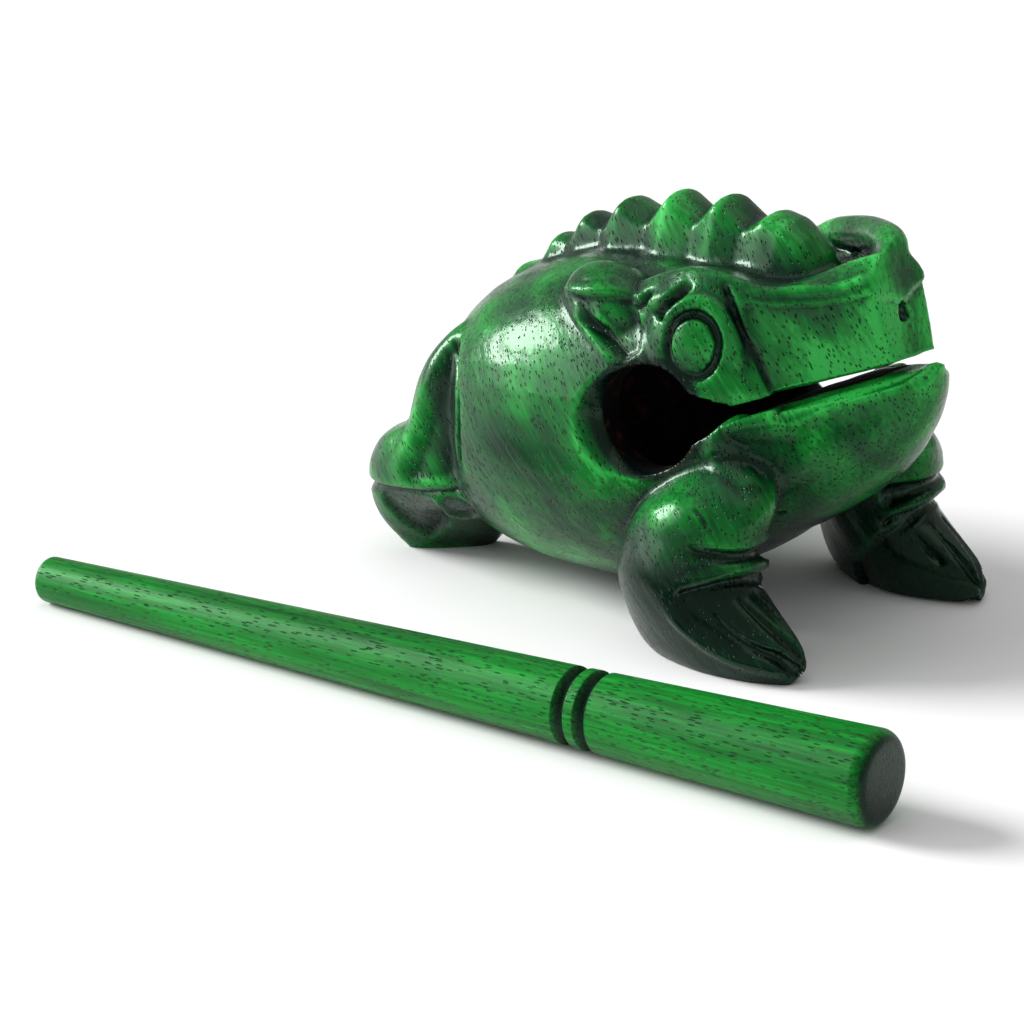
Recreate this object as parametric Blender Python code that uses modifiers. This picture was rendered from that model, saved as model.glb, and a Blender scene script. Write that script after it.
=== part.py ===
"""Frog guiro: a hollow carved wooden frog with a toothed back, and its turned scraper stick.

The frog is drawn in millimetres: X runs forward to the snout, Y to the frog's left and Z up.
X = Y = 0 is the middle of the belly and Z = 0 the floor. The model itself is in metres.
"""

import math

import bmesh
import bpy
import numpy as np
from mathutils import Matrix, Vector

MM = 0.001
MERGE_GAP = 0.00005
SLIVER = 0.0001

# The carving block: what is drawn below follows the real block's size
BLOCK_LENGTH = 120.0
BLOCK_WIDTH = 78.0
BLOCK_HEIGHT = 78.0
DRAWN_LENGTH = 120.0
DRAWN_WIDTH = 78.0
DRAWN_HEIGHT = 78.0

# Mouth slot: its back end, and its middle line at the snout
MOUTH_BACK = (28.0, 45.7)
MOUTH_FRONT = (55.0, 54.4)
MOUTH_GAP_BACK = 1.6
MOUTH_GAP_FRONT = 4.2

# Round hole through the cheeks, and the sound chamber that it opens
HOLE_CENTRE = (14.8, 43.2)
HOLE_RADIUS = 10.3
HOLE_FLARE = 2.0
HOLE_FLARE_DEPTH = 5.0
CHAMBER_CENTRE = (12.0, 43.0)
CHAMBER_RADIUS = 15.0
CHAMBER_HALF_WIDTH = 25.0
CHAMBER_ROUND = 6.0

# Snout
SNOUT_LIP = (54.4, 56.2)
SNOUT_LEAN = 18.9
NOSTRIL_HEIGHT = 9.0
NOSTRIL_WIDTH = 2.4
NOSTRIL_DEPTH = 1.8

# Crest of scraping teeth
CREST_TOP_HALF_WIDTH = 5.6
CREST_FOOT_HALF_WIDTH = 7.6
CREST_FOOT_DEPTH = 9.0
CREST_ARCH = 2.8

# Eyes
EYE_CENTRE = (21.6, 24.3, 57.4)
EYE_FACING = (0.34, 0.92, 0.20)
EYE_DISC_HALF_LENGTH = 3.6
EYE_DISC_HALF_HEIGHT = 4.3
EYE_GROOVE_WIDTH = 2.4
EYE_BOSS_RADIUS = 9.5
EYE_BOSS_DEPTH = 3.2

# Raised brow leaf behind each eye
LEAF_CENTRE = (-0.5, 19.2, 59.6)
LEAF_HALF_LENGTH = 11.5
LEAF_HALF_WIDTH = 8.4
LEAF_HALF_HEIGHT = 7.2
LEAF_FALL = 14.0

# Carved lines
TOE_GROOVE_WIDTH = 2.4
FOLD_GROOVE_WIDTH = 3.2
PANEL_GROOVE_WIDTH = 2.2

# Scraper stick
STICK_LENGTH = 185.0
STICK_TIP_DIAMETER = 8.8
STICK_NECK_DIAMETER = 14.4
STICK_HANDLE_DIAMETER = 17.2
STICK_HANDLE_LENGTH = 57.0
STICK_RING_WIDTH = 2.6
STICK_RING_DEPTH = 1.3
STICK_RING_SPACING = 4.6
STICK_END_ROUND = 1.4
STICK_ANGLE = 7.0
STICK_MIDDLE = (9.4, -79.8)
STICK_SIDES = 36

# Fineness of the carved surface
CARVING_VOXEL = 1.0
CARVING_TRIANGLES = 9500
RING_POINTS = 40
GOUGE_STEPS = 14


# Scene, materials and small helpers

def clear_scene():
    for scene_object in list(bpy.data.objects):
        bpy.data.objects.remove(scene_object, do_unlink=True)


def new_collection(name):
    collection = bpy.data.collections.new(name)
    bpy.context.scene.collection.children.link(collection)
    return collection


def new_material(name, colour, roughness, metallic=0.0):
    material = bpy.data.materials.new(name)
    material.use_nodes = True
    shader = material.node_tree.nodes["Principled BSDF"]
    shader.inputs["Base Color"].default_value = (*colour, 1.0)
    shader.inputs["Roughness"].default_value = roughness
    shader.inputs["Metallic"].default_value = metallic
    material.diffuse_color = (*colour, 1.0)
    return material


def on_block(x, y, z):
    """A drawn place in millimetres, carried to the real block, in metres."""
    return Vector((x * BLOCK_LENGTH / DRAWN_LENGTH,
                   y * BLOCK_WIDTH / DRAWN_WIDTH,
                   z * BLOCK_HEIGHT / DRAWN_HEIGHT)) * MM


def signed_power(value, power):
    return math.copysign(abs(value) ** power, value)


def smooth_rows(rows, count):
    """More rows between the drawn ones, on a Catmull-Rom curve through them."""
    table = np.array(rows, dtype=float)
    padded = np.vstack([2 * table[0] - table[1], table, 2 * table[-1] - table[-2]])
    places = np.linspace(0, len(table) - 1, count)
    result = []
    for place in places:
        start = min(int(place), len(table) - 2)
        t = place - start
        a, b, c, d = padded[start:start + 4]
        result.append(0.5 * (2 * b + (c - a) * t + (2 * a - 5 * b + 4 * c - d) * t ** 2
                             + (3 * b - a - 3 * c + d) * t ** 3))
    return result


def loft(name, rings, collection):
    """A closed skin through rings that have the same number of points."""
    shape = bmesh.new()
    loops = [[shape.verts.new(point) for point in ring] for ring in rings]
    count = len(loops[0])
    for first, second in zip(loops, loops[1:]):
        for i in range(count):
            j = (i + 1) % count
            shape.faces.new((first[i], first[j], second[j], second[i]))
    for ring_loop in (loops[0], loops[-1]):
        middle = sum((vert.co for vert in ring_loop), Vector()) / count
        centre = shape.verts.new(middle)
        for i in range(count):
            shape.faces.new((ring_loop[i], ring_loop[(i + 1) % count], centre))
    bmesh.ops.remove_doubles(shape, verts=shape.verts, dist=MERGE_GAP * 0.2)
    bmesh.ops.recalc_face_normals(shape, faces=shape.faces)
    return finish_mesh(name, shape, collection)


def finish_mesh(name, shape, collection):
    mesh = bpy.data.meshes.new(name)
    shape.to_mesh(mesh)
    shape.free()
    new_object = bpy.data.objects.new(name, mesh)
    collection.objects.link(new_object)
    return new_object


def take_primitive(name, collection):
    """Name the primitive that was just added, and move it to the collection."""
    primitive = bpy.context.object
    primitive.name = name
    for other in list(primitive.users_collection):
        other.objects.unlink(primitive)
    collection.objects.link(primitive)
    return primitive


def mark_cutter(cutter):
    cutter.hide_render = True
    cutter.display_type = "WIRE"


def apply_modifiers(target):
    """Replace the object's mesh by its evaluated one."""
    bpy.context.view_layer.update()
    graph = bpy.context.evaluated_depsgraph_get()
    finished = bpy.data.meshes.new_from_object(target.evaluated_get(graph))
    target.modifiers.clear()
    target.data = finished


def join_meshes(name, pieces, collection):
    """One object that holds the faces of all the pieces, which are removed."""
    shape = bmesh.new()
    for piece in pieces:
        start = len(shape.verts)
        shape.from_mesh(piece.data)
        shape.verts.ensure_lookup_table()
        bmesh.ops.transform(shape, matrix=piece.matrix_world, verts=shape.verts[start:])
        bpy.data.objects.remove(piece, do_unlink=True)
    return finish_mesh(name, shape, collection)


def both_sides(maker, *values):
    """Make a form on the right side of the frog and its mirror image on the left."""
    return [maker(side, *values) for side in (-1, 1)]


# The frog's forms, drawn as sections in millimetres

# x, half width, lowest z, widest z, highest z
TRUNK_SECTIONS = (
    (-51, 3, 25, 32, 39), (-49, 13, 15, 32, 46), (-45, 21, 8.5, 32, 50.5), (-38, 28, 4, 33, 56),
    (-28, 33, 1.8, 34, 61), (-15, 35, 1.2, 34.5, 65.5), (0, 34.5, 2, 35.5, 67),
    (10, 32.5, 5, 37, 67.3), (20, 29, 10.5, 40, 67.5), (29, 24.5, 17, 43, 66), (36, 19, 23, 46, 61),
    (42, 9, 32, 48, 55))
TRUNK_SQUARENESS = 2.25


def trunk(collection):
    rings = []
    for x, half_width, low, wide, high in smooth_rows(TRUNK_SECTIONS, 44):
        ring = []
        for i in range(RING_POINTS):
            angle = math.tau * i / RING_POINTS
            y = half_width * signed_power(math.cos(angle), 2 / TRUNK_SQUARENESS)
            rise = signed_power(math.sin(angle), 2 / TRUNK_SQUARENESS)
            z = wide + rise * ((high - wide) if rise > 0 else (wide - low))
            ring.append(on_block(x, y, z))
        rings.append(ring)
    return loft("trunk", rings, collection)


# x, lip half width, brow half width, brow z, top half width, top z, trough half width, trough z
HEAD_SECTIONS = (
    (6, 27, 25, 62, 20, 66, 9, 66.5), (14, 27, 24, 65, 19, 69.5, 9, 67.5),
    (21, 25.5, 22, 66, 18.6, 70.2, 9, 68), (26, 23.4, 20, 66, 17.8, 69.6, 9.5, 67.6),
    (31, 21, 18.2, 65.8, 16, 68.8, 9, 68), (36, 18.4, 16.0, 66.3, 14.0, 69.0, 8, 70.0),
    (42, 14.4, 12.2, 67.8, 10.2, 70.4, 5, 73.2), (48, 10.2, 8.6, 69.8, 6.6, 72.6, 3.5, 75.4),
    (54, 6.4, 5.8, 72.0, 4.4, 74.4, 2.2, 75.4), (60, 3.2, 2.8, 74, 1.8, 76, 0.8, 77))

# Roll over the forehead, from the near corner of the snout to the far eye: x, y, z, radius
FOREHEAD_ROLL = (
    (51.5, -3.2, 70.2, 2.0), (48.5, -1.0, 73.0, 2.6), (46.2, 2.2, 74.4, 3.0), (43.0, 5.4, 75.0, 3.2),
    (38.2, 9.0, 74.4, 3.3), (32.6, 12.4, 73.2, 3.3), (26.5, 15.2, 71.6, 3.3), (20.5, 17.4, 69.6, 3.0),
    (15.0, 19.0, 67.0, 2.0))


def lip_height(x):
    slope = math.tan(math.radians(SNOUT_LEAN))
    return SNOUT_LIP[1] - slope * (SNOUT_LIP[0] - x)


def upper_head(collection):
    rings = []
    for row in smooth_rows(HEAD_SECTIONS, 34):
        x, lip, brow, brow_z, top, top_z, trough, trough_z = row
        lip_z = lip_height(x)
        half = [(0.0, lip_z - 9), (lip * 0.8, lip_z - 9), (lip, lip_z - 4), (lip, lip_z),
                (brow, brow_z), (top, top_z), (trough, trough_z), (0.0, trough_z)]
        outline = half + [(-y, z) for y, z in reversed(half[1:-1])]
        rings.append([on_block(x, y, z) for y, z in outline])
    head = loft("upper_head", rings, collection)
    cut_snout_face(head, collection)
    return head


def forehead_roll(collection):
    """A rolled edge that the carver left on one side only, between the crest and the far eye."""
    rows = smooth_rows(FOREHEAD_ROLL, 30)
    rings = []
    for i, (x, y, z, radius) in enumerate(rows):
        back = Vector(rows[max(i - 1, 0)][:3])
        ahead = Vector(rows[min(i + 1, len(rows) - 1)][:3])
        turn = (ahead - back).to_track_quat("Z", "Y")
        ring = []
        for k in range(RING_POINTS):
            angle = math.tau * k / RING_POINTS
            place = Vector((x, y, z)) + turn @ Vector((math.cos(angle), math.sin(angle), 0)) * radius
            ring.append(on_block(*place))
        rings.append(ring)
    roll = loft("forehead_roll", rings, collection)
    cut_snout_face(roll, collection)
    return roll


def cut_snout_face(head, collection):
    """Plane off the front of the head, square to the lip line."""
    size = BLOCK_HEIGHT * MM
    bpy.ops.mesh.primitive_cube_add(size=size)
    block = take_primitive("snout_plane", collection)
    lean = Matrix.Rotation(-math.radians(SNOUT_LEAN), 4, "Y")
    corner = on_block(SNOUT_LIP[0], 0, SNOUT_LIP[1])
    block.matrix_world = Matrix.Translation(corner) @ lean @ Matrix.Translation((size / 2, 0, 0))
    cut = head.modifiers.new("snout_face", "BOOLEAN")
    cut.operation = "DIFFERENCE"
    cut.object = block
    apply_modifiers(head)
    bpy.data.objects.remove(block, do_unlink=True)


# x, half width, chin z
JAW_SECTIONS = (
    (8, 28, 8), (16, 28.5, 10), (24, 27, 14), (31, 24, 18), (38, 20.3, 22.6), (45, 16, 28),
    (50.4, 11.6, 33), (54.2, 8.6, 38.5), (57, 5.8, 43.5), (59, 3.2, 48.5), (59.8, 1.0, 51.5))
JAW_SQUARENESS = 2.3


def lower_jaw(collection):
    rings = []
    for x, half_width, chin in smooth_rows(JAW_SECTIONS, 34):
        lip = lip_height(x) - 1.2
        wide = lip - 3.2
        if wide < chin + 1:
            wide = (lip + chin) / 2
        ring = []
        for i in range(RING_POINTS):
            angle = math.tau * i / RING_POINTS
            rise = math.sin(angle)
            power = 2 / (4.5 if rise > 0 else JAW_SQUARENESS)
            y = half_width * signed_power(math.cos(angle), power)
            reach = (lip - wide) if rise > 0 else (wide - chin)
            ring.append(on_block(x, y, wide + reach * signed_power(rise, power)))
        rings.append(ring)
    return loft("lower_jaw", rings, collection)


# z, rear x, front x, outer y, inner y, share of the width lost at the front
FORELEG_SECTIONS = (
    (-1, 18.5, 49.5, 34.5, 19.5, 0.42), (0, 16.8, 51, 35.5, 19, 0.42), (2, 14.5, 52.6, 36.5, 18.2, 0.42),
    (5, 12.6, 53, 37.4, 17.6, 0.42), (8, 11.4, 50.8, 38.2, 17.2, 0.40), (11, 10.7, 46.5, 38.8, 16.8, 0.36),
    (14, 10.4, 42, 39, 16.4, 0.28), (16, 10.4, 39.4, 39, 16.2, 0.20), (20, 11, 39, 38.4, 16, 0.15),
    (25, 13, 39.6, 37, 15.6, 0.15), (29, 15.5, 40, 34.8, 15, 0.20), (33, 19, 39, 31, 14, 0.25),
    (37, 22, 36, 25, 12, 0.30))
# Share of the width lost at the back of the inner side
FORELEG_HEEL = 0.6


def foreleg(side, collection):
    rings = []
    for z, rear, front, outer, inner, taper in smooth_rows(FORELEG_SECTIONS, 30):
        ring = []
        for i in range(RING_POINTS):
            angle = math.tau * i / RING_POINTS
            along = signed_power(math.cos(angle), 0.9)
            across = signed_power(math.sin(angle), 0.9)
            x = (rear + front) / 2 + along * (front - rear) / 2
            slim = 1 - taper * max(along, 0.0) ** 1.5
            if across < 0:
                slim -= FORELEG_HEEL * max(-along, 0.0) ** 1.5
            y = (outer + inner) / 2 + across * slim * (outer - inner) / 2
            ring.append(on_block(x, side * y, z))
        rings.append(ring)
    return loft("foreleg", rings, collection)


# z, rear x, front x, outer y, inner y, slant of the section across the frog
HINDLEG_SECTIONS = (
    (-1, -52.5, -41.5, 19, 12.5, 1.0), (0, -52.8, -41.2, 19.5, 12.5, 1.0), (3, -55, -38.5, 21.5, 12, 0.75),
    (8, -58.3, -33.5, 26, 11.8, 0.35), (12, -60, -30, 29.4, 12, 0.1), (17, -60, -29, 31.8, 12, 0),
    (22, -57.8, -31, 31.5, 12, 0), (25, -54.6, -32, 31, 12, 0), (27, -51.2, -33, 30.8, 13, 0),
    (29, -48.6, -33.5, 30.6, 13, 0), (33, -47.6, -34, 30.2, 13, 0), (40, -45.6, -33, 29, 13, 0),
    (46, -42.2, -31, 26.2, 13, 0), (50, -38.6, -29, 22, 13, 0))


def hindleg(side, collection):
    rings = []
    for z, rear, front, outer, inner, slant in smooth_rows(HINDLEG_SECTIONS, 30):
        ring = []
        for i in range(RING_POINTS):
            angle = math.tau * i / RING_POINTS
            along = signed_power(math.cos(angle), 0.8) * (front - rear) / 2
            across = signed_power(math.sin(angle), 0.8) * (outer - inner) / 2
            y = (outer + inner) / 2 + across - slant * along
            ring.append(on_block((rear + front) / 2 + along, side * y, z))
        rings.append(ring)
    return loft("hindleg", rings, collection)


# Tops and notches of the saw-toothed crest at half the height of its arch, from the tail to the
# brow, and the share of the full width there: x, z, share
CREST_PROFILE = (
    (-44.5, 50, 0.62), (-41.4, 54.7, 0.66), (-35.2, 57.0, 0.74), (-31.9, 62.8, 0.78),
    (-27.4, 63.0, 0.83), (-23.9, 68.6, 0.88), (-18.0, 67.6, 0.95), (-14.2, 73.2, 1.0),
    (-6.6, 70.8, 1.0), (-2.0, 76.7, 1.0), (5.4, 73.0, 1.0), (10.0, 78.0, 1.0), (16.8, 73.8, 1.0),
    (21.0, 76.6, 1.0), (25.5, 75.8, 0.98), (29.5, 73.4, 0.90), (32.5, 70.2, 0.76),
    (34.6, 66.5, 0.50), (35.4, 63.0, 0.20))


def crest(collection):
    """A bar with an arched top and saw teeth across it, which narrows to the tail and to the brow."""
    rings = []
    for x, z, share in CREST_PROFILE:
        top = CREST_TOP_HALF_WIDTH * share
        foot = CREST_FOOT_HALF_WIDTH * share
        arch = [(top * math.sin(turn), z + CREST_ARCH * (math.cos(turn) - 0.5))
                for turn in (0.0, 0.35, 0.7, 1.05, math.pi / 2)]
        half = arch + [(foot, z - CREST_FOOT_DEPTH), (foot, z - 2 * CREST_FOOT_DEPTH),
                       (0.0, z - 2 * CREST_FOOT_DEPTH)]
        outline = half + [(-y, depth) for y, depth in reversed(half[1:-1])]
        rings.append([on_block(x, y, depth) for y, depth in outline])
    return loft("crest", rings, collection)


# Cutters

def mouth_cutter(collection):
    """A wedge between the lips, widening to the front, with its back end run into the round hole."""
    back_x, back_z = MOUTH_BACK
    front_x, front_z = MOUTH_FRONT
    slope = (front_z - back_z) / (front_x - back_x)
    spread = (MOUTH_GAP_FRONT - MOUTH_GAP_BACK) / 2 / (front_x - back_x)
    far_x = front_x + front_x / 2
    far_z = back_z + slope * (far_x - back_x)
    far_half = MOUTH_GAP_BACK / 2 + spread * (far_x - back_x)
    hole_x, hole_z = HOLE_CENTRE
    outline = ((hole_x + 1, hole_z - HOLE_RADIUS * 0.97), (back_x + 3, back_z - 0.6),
               (far_x, far_z - far_half), (far_x, far_z + far_half),
               (back_x + 2, back_z + MOUTH_GAP_BACK / 2 + 0.9), (hole_x + 4, hole_z + HOLE_RADIUS * 0.9))
    rings = [[on_block(x, y, z) for x, z in outline] for y in (-DRAWN_WIDTH, DRAWN_WIDTH)]
    return loft("mouth", rings, collection)


def hole_cutter(collection):
    """A round bar from side to side, which flares where it leaves the cheeks."""
    cheek = TRUNK_SECTIONS[7][1]
    half = [(0.0, 0.0), (cheek - HOLE_FLARE_DEPTH, 0.0), (cheek - HOLE_FLARE_DEPTH * 0.6, 0.12),
            (cheek - HOLE_FLARE_DEPTH * 0.3, 0.4), (cheek, 1.0), (cheek + HOLE_FLARE_DEPTH, 2.4)]
    stations = [(-y, flare) for y, flare in reversed(half[1:])] + half
    rings = []
    for y, flare in stations:
        radius = (HOLE_RADIUS + HOLE_FLARE * flare) * MM
        ring = []
        for i in range(RING_POINTS):
            angle = math.tau * i / RING_POINTS
            spoke = Vector((math.cos(angle), 0, math.sin(angle))) * radius
            ring.append(on_block(HOLE_CENTRE[0], y, HOLE_CENTRE[1]) + spoke)
        rings.append(ring)
    return loft("side_hole", rings, collection)


def chamber_cutter(collection):
    """A barrel with rounded ends that lies across the frog, behind the round hole."""
    shape = bmesh.new()
    bmesh.ops.create_cone(shape, segments=RING_POINTS, radius1=CHAMBER_RADIUS * MM,
                          radius2=CHAMBER_RADIUS * MM, depth=2 * CHAMBER_HALF_WIDTH * MM, cap_ends=True)
    rims = [edge for edge in shape.edges if any(len(face.verts) > 4 for face in edge.link_faces)]
    bmesh.ops.bevel(shape, geom=rims, offset=CHAMBER_ROUND * MM, segments=4, profile=0.5,
                    affect="EDGES", clamp_overlap=True)
    middle = on_block(CHAMBER_CENTRE[0], 0, CHAMBER_CENTRE[1])
    place = Matrix.Translation(middle) @ Matrix.Rotation(math.pi / 2, 4, "X")
    bmesh.ops.transform(shape, matrix=place, verts=shape.verts)
    return finish_mesh("sound_chamber", shape, collection)


def floor_cutter(collection):
    size = 4 * BLOCK_LENGTH * MM
    bpy.ops.mesh.primitive_cube_add(size=size, location=(0, 0, -size / 2))
    return take_primitive("floor_plane", collection)


def seated(body, place):
    """The place on the body's surface that is nearest to the given one."""
    found, nearest, _, _ = body.closest_point_on_mesh(place)
    return nearest if found else place


def gouge(body, places, width, collection, ring=False):
    """A round-bottomed gouge cut that follows the body's surface and runs out at both ends."""
    curve = bpy.data.curves.new("gouge", "CURVE")
    curve.dimensions = "3D"
    curve.bevel_depth = width / 2 * MM
    curve.bevel_resolution = 2
    curve.use_fill_caps = not ring
    line = curve.splines.new("POLY")
    line.points.add(len(places) - 1)
    line.use_cyclic_u = ring
    for i, place in enumerate(places):
        share = i / (len(places) - 1)
        line.points[i].co = (*seated(body, place), 1.0)
        line.points[i].radius = 1.0 if ring else max(0.25, min(1.0, 6 * share, 6 * (1 - share)))
    tube = bpy.data.objects.new("gouge", curve)
    collection.objects.link(tube)
    bpy.context.view_layer.update()
    graph = bpy.context.evaluated_depsgraph_get()
    mesh = bpy.data.meshes.new_from_object(tube.evaluated_get(graph))
    bpy.data.objects.remove(tube, do_unlink=True)
    shape = bmesh.new()
    shape.from_mesh(mesh)
    bmesh.ops.remove_doubles(shape, verts=shape.verts, dist=MERGE_GAP)
    bmesh.ops.recalc_face_normals(shape, faces=shape.faces)
    return finish_mesh("gouge", shape, collection)


def eye_place(side):
    """The middle of an eye and the way it faces."""
    centre = on_block(EYE_CENTRE[0], side * EYE_CENTRE[1], EYE_CENTRE[2])
    facing = Vector((EYE_FACING[0], side * EYE_FACING[1], EYE_FACING[2])).normalized()
    return centre, facing


def eye_boss(side, collection):
    """A flat dome that carries the eye."""
    centre, facing = eye_place(side)
    shape = bmesh.new()
    bmesh.ops.create_uvsphere(shape, u_segments=32, v_segments=16, radius=1.0)
    size = Vector((EYE_BOSS_RADIUS, EYE_BOSS_RADIUS, EYE_BOSS_DEPTH)) * MM
    turn = facing.to_track_quat("Z", "Y").to_matrix().to_4x4()
    place = Matrix.Translation(centre - facing * EYE_BOSS_DEPTH * 0.7 * MM) @ turn
    bmesh.ops.transform(shape, matrix=place @ Matrix.Diagonal((*size, 1.0)), verts=shape.verts)
    return finish_mesh("eye_boss", shape, collection)


def brow_leaf(side, collection):
    """A low lens behind the eye, which falls towards the cheek hole."""
    shape = bmesh.new()
    bmesh.ops.create_uvsphere(shape, u_segments=32, v_segments=16, radius=1.0)
    size = Vector((LEAF_HALF_LENGTH, LEAF_HALF_WIDTH, LEAF_HALF_HEIGHT)) * MM
    centre = on_block(LEAF_CENTRE[0], side * LEAF_CENTRE[1], LEAF_CENTRE[2])
    fall = Matrix.Rotation(math.radians(LEAF_FALL), 4, "Y")
    place = Matrix.Translation(centre) @ fall @ Matrix.Diagonal((*size, 1.0))
    bmesh.ops.transform(shape, matrix=place, verts=shape.verts)
    return finish_mesh("brow_leaf", shape, collection)


def eye_groove(side, body, collection):
    """A ring cut round the eye, which leaves a disc standing in it."""
    centre, facing = eye_place(side)
    turn = facing.to_track_quat("Z", "Y")
    half_height = (EYE_DISC_HALF_HEIGHT + EYE_GROOVE_WIDTH / 2) * MM
    half_length = (EYE_DISC_HALF_LENGTH + EYE_GROOVE_WIDTH / 2) * MM
    places = []
    for i in range(RING_POINTS):
        angle = math.tau * i / RING_POINTS
        around = Vector((math.cos(angle) * half_length, math.sin(angle) * half_height, 0))
        places.append(centre + turn @ around)
    return gouge(body, places, EYE_GROOVE_WIDTH, collection, ring=True)


# Building the frog

def cut(target, cutters, collection):
    """Cut every cutter from the target in one Boolean, and remove the cutters."""
    for cutter in cutters:
        mark_cutter(cutter)
    boolean = target.modifiers.new("cuts", "BOOLEAN")
    boolean.operation = "DIFFERENCE"
    boolean.operand_type = "COLLECTION"
    boolean.collection = collection
    apply_modifiers(target)
    weld_slivers(target)
    for cutter in cutters:
        bpy.data.objects.remove(cutter, do_unlink=True)


def fixed_order(target):
    """Number the points and faces by their place, because a Boolean numbers them as it likes."""
    points = np.array([tuple(vert.co) for vert in target.data.vertices])
    order = np.lexsort(points.T)
    rank = np.empty(len(order), dtype=int)
    rank[order] = np.arange(len(order))
    faces = []
    for polygon in target.data.polygons:
        corners = [int(rank[i]) for i in polygon.vertices]
        start = corners.index(min(corners))
        faces.append(tuple(corners[start:] + corners[:start]))
    mesh = bpy.data.meshes.new(target.name)
    mesh.from_pydata(points[order].tolist(), [], sorted(faces))
    target.data = mesh


def weld_slivers(target):
    """Close the hair-thin faces and gaps that a Boolean can leave along its cut."""
    fixed_order(target)
    shape = bmesh.new()
    shape.from_mesh(target.data)
    bmesh.ops.remove_doubles(shape, verts=shape.verts, dist=SLIVER)
    bmesh.ops.dissolve_degenerate(shape, edges=shape.edges, dist=SLIVER)
    bmesh.ops.triangulate(shape, faces=shape.faces)
    open_edges = [edge for edge in shape.edges if edge.is_boundary]
    bmesh.ops.holes_fill(shape, edges=open_edges, sides=0)
    bmesh.ops.recalc_face_normals(shape, faces=shape.faces)
    shape.to_mesh(target.data)
    shape.free()


def remesh(target, voxel):
    modifier = target.modifiers.new("one_skin", "REMESH")
    modifier.mode = "VOXEL"
    modifier.voxel_size = voxel * MM
    modifier.adaptivity = 0.0
    apply_modifiers(target)


def soften(target, repeats):
    modifier = target.modifiers.new("sanding", "SMOOTH")
    modifier.factor = 0.5
    modifier.iterations = repeats
    apply_modifiers(target)


def thin_out(target, triangles):
    faces = sum(len(polygon.vertices) - 2 for polygon in target.data.polygons)
    modifier = target.modifiers.new("fewer_faces", "DECIMATE")
    modifier.ratio = min(1.0, triangles / faces)
    apply_modifiers(target)


# Carved lines of the right side, each through three or more places, with its width
BROW_LINE = ((-8.5, -23.0, 60.2), (0.8, -26.8, 57.3), (8.0, -28.6, 54.4), (12.5, -28.8, 51.6))
BROW_NOTCHES = (
    ((8.6, -25.6, 60.6), (9.1, -24.8, 61.9), (10.2, -23.2, 64.5)),
    ((14.4, -25.2, 60.6), (15.6, -23.9, 63.0), (17.2, -22.6, 65.6)))
PANEL_LINE = ((24.2, -19.6, 69.2), (27.0, -20.2, 65.4), (30.0, -20.0, 60.5), (33.2, -19.6, 55.6),
              (36.4, -18.9, 50.0))
CUFF_LINES = (
    ((26.5, -37.9, 22.5), (31.9, -35.2, 21.8), (35.4, -29.0, 21.1), (36.2, -22.0, 19.5),
     (34.5, -15.8, 17.5)),
    ((24.5, -38.4, 10.5), (28.5, -37.8, 12.8), (33.0, -35.2, 15.4), (36.6, -28.0, 16.4),
     (37.0, -22.0, 15.6), (35.0, -16.2, 14.4)))
TOE_LINES = (
    ((34.0, -35.2, 14.4), (39.0, -35.4, 9.6), (44.5, -34.2, 5.6)),
    ((35.5, -32.0, 15.0), (42.0, -32.0, 10.6), (49.0, -31.0, 5.6)),
    ((36.8, -28.0, 15.4), (44.5, -28.6, 11.4), (52.0, -27.6, 6.0)),
    ((36.8, -23.8, 15.0), (43.5, -24.0, 11.8), (50.8, -24.2, 7.2)))
THIGH_LINES = (
    ((-37.5, -24.0, 50.0), (-33.5, -29.5, 44.0), (-30.2, -32.0, 37.5), (-30.6, -32.2, 28.0),
     (-32.0, -31.4, 18.0)),
    ((-59.5, -23.0, 15.5), (-54.5, -30.6, 14.6), (-45.2, -32.6, 15.4), (-36.0, -32.0, 17.4),
     (-30.5, -31.6, 18.6)))


def carved_lines(side, body, collection):
    """Every gouged line of one side of the frog."""
    lines = [(BROW_LINE, FOLD_GROOVE_WIDTH), (PANEL_LINE, PANEL_GROOVE_WIDTH)]
    lines += [(line, TOE_GROOVE_WIDTH) for line in BROW_NOTCHES]
    lines += [(line, FOLD_GROOVE_WIDTH) for line in CUFF_LINES]
    lines += [(line, TOE_GROOVE_WIDTH) for line in TOE_LINES]
    lines += [(line, FOLD_GROOVE_WIDTH) for line in THIGH_LINES]
    cuts = []
    for line, width in lines:
        places = [on_block(x, -side * y, z) for x, y, z in smooth_rows(line, GOUGE_STEPS)]
        cuts.append(gouge(body, places, width, collection))
    return cuts


def nostril_cutter(collection):
    """A three-sided prick in the middle of the snout's face."""
    slope = math.radians(SNOUT_LEAN)
    up = Vector((-math.sin(slope), 0, math.cos(slope)))
    out = Vector((math.cos(slope), 0, math.sin(slope)))
    middle = on_block(SNOUT_LIP[0], 0, SNOUT_LIP[1]) + up * NOSTRIL_HEIGHT * MM
    size = NOSTRIL_WIDTH * MM
    rings = []
    for reach, share in ((-NOSTRIL_DEPTH, 0.1), (NOSTRIL_DEPTH, 1.9)):
        base = middle + out * reach * MM
        corners = [(-0.5, -0.5), (0.5, -0.5), (0.0, 0.8)]
        rings.append([base + Vector((0, across * size * share, 0)) + up * rise * size * share
                      for across, rise in corners])
    return loft("nostril", rings, collection)


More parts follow.
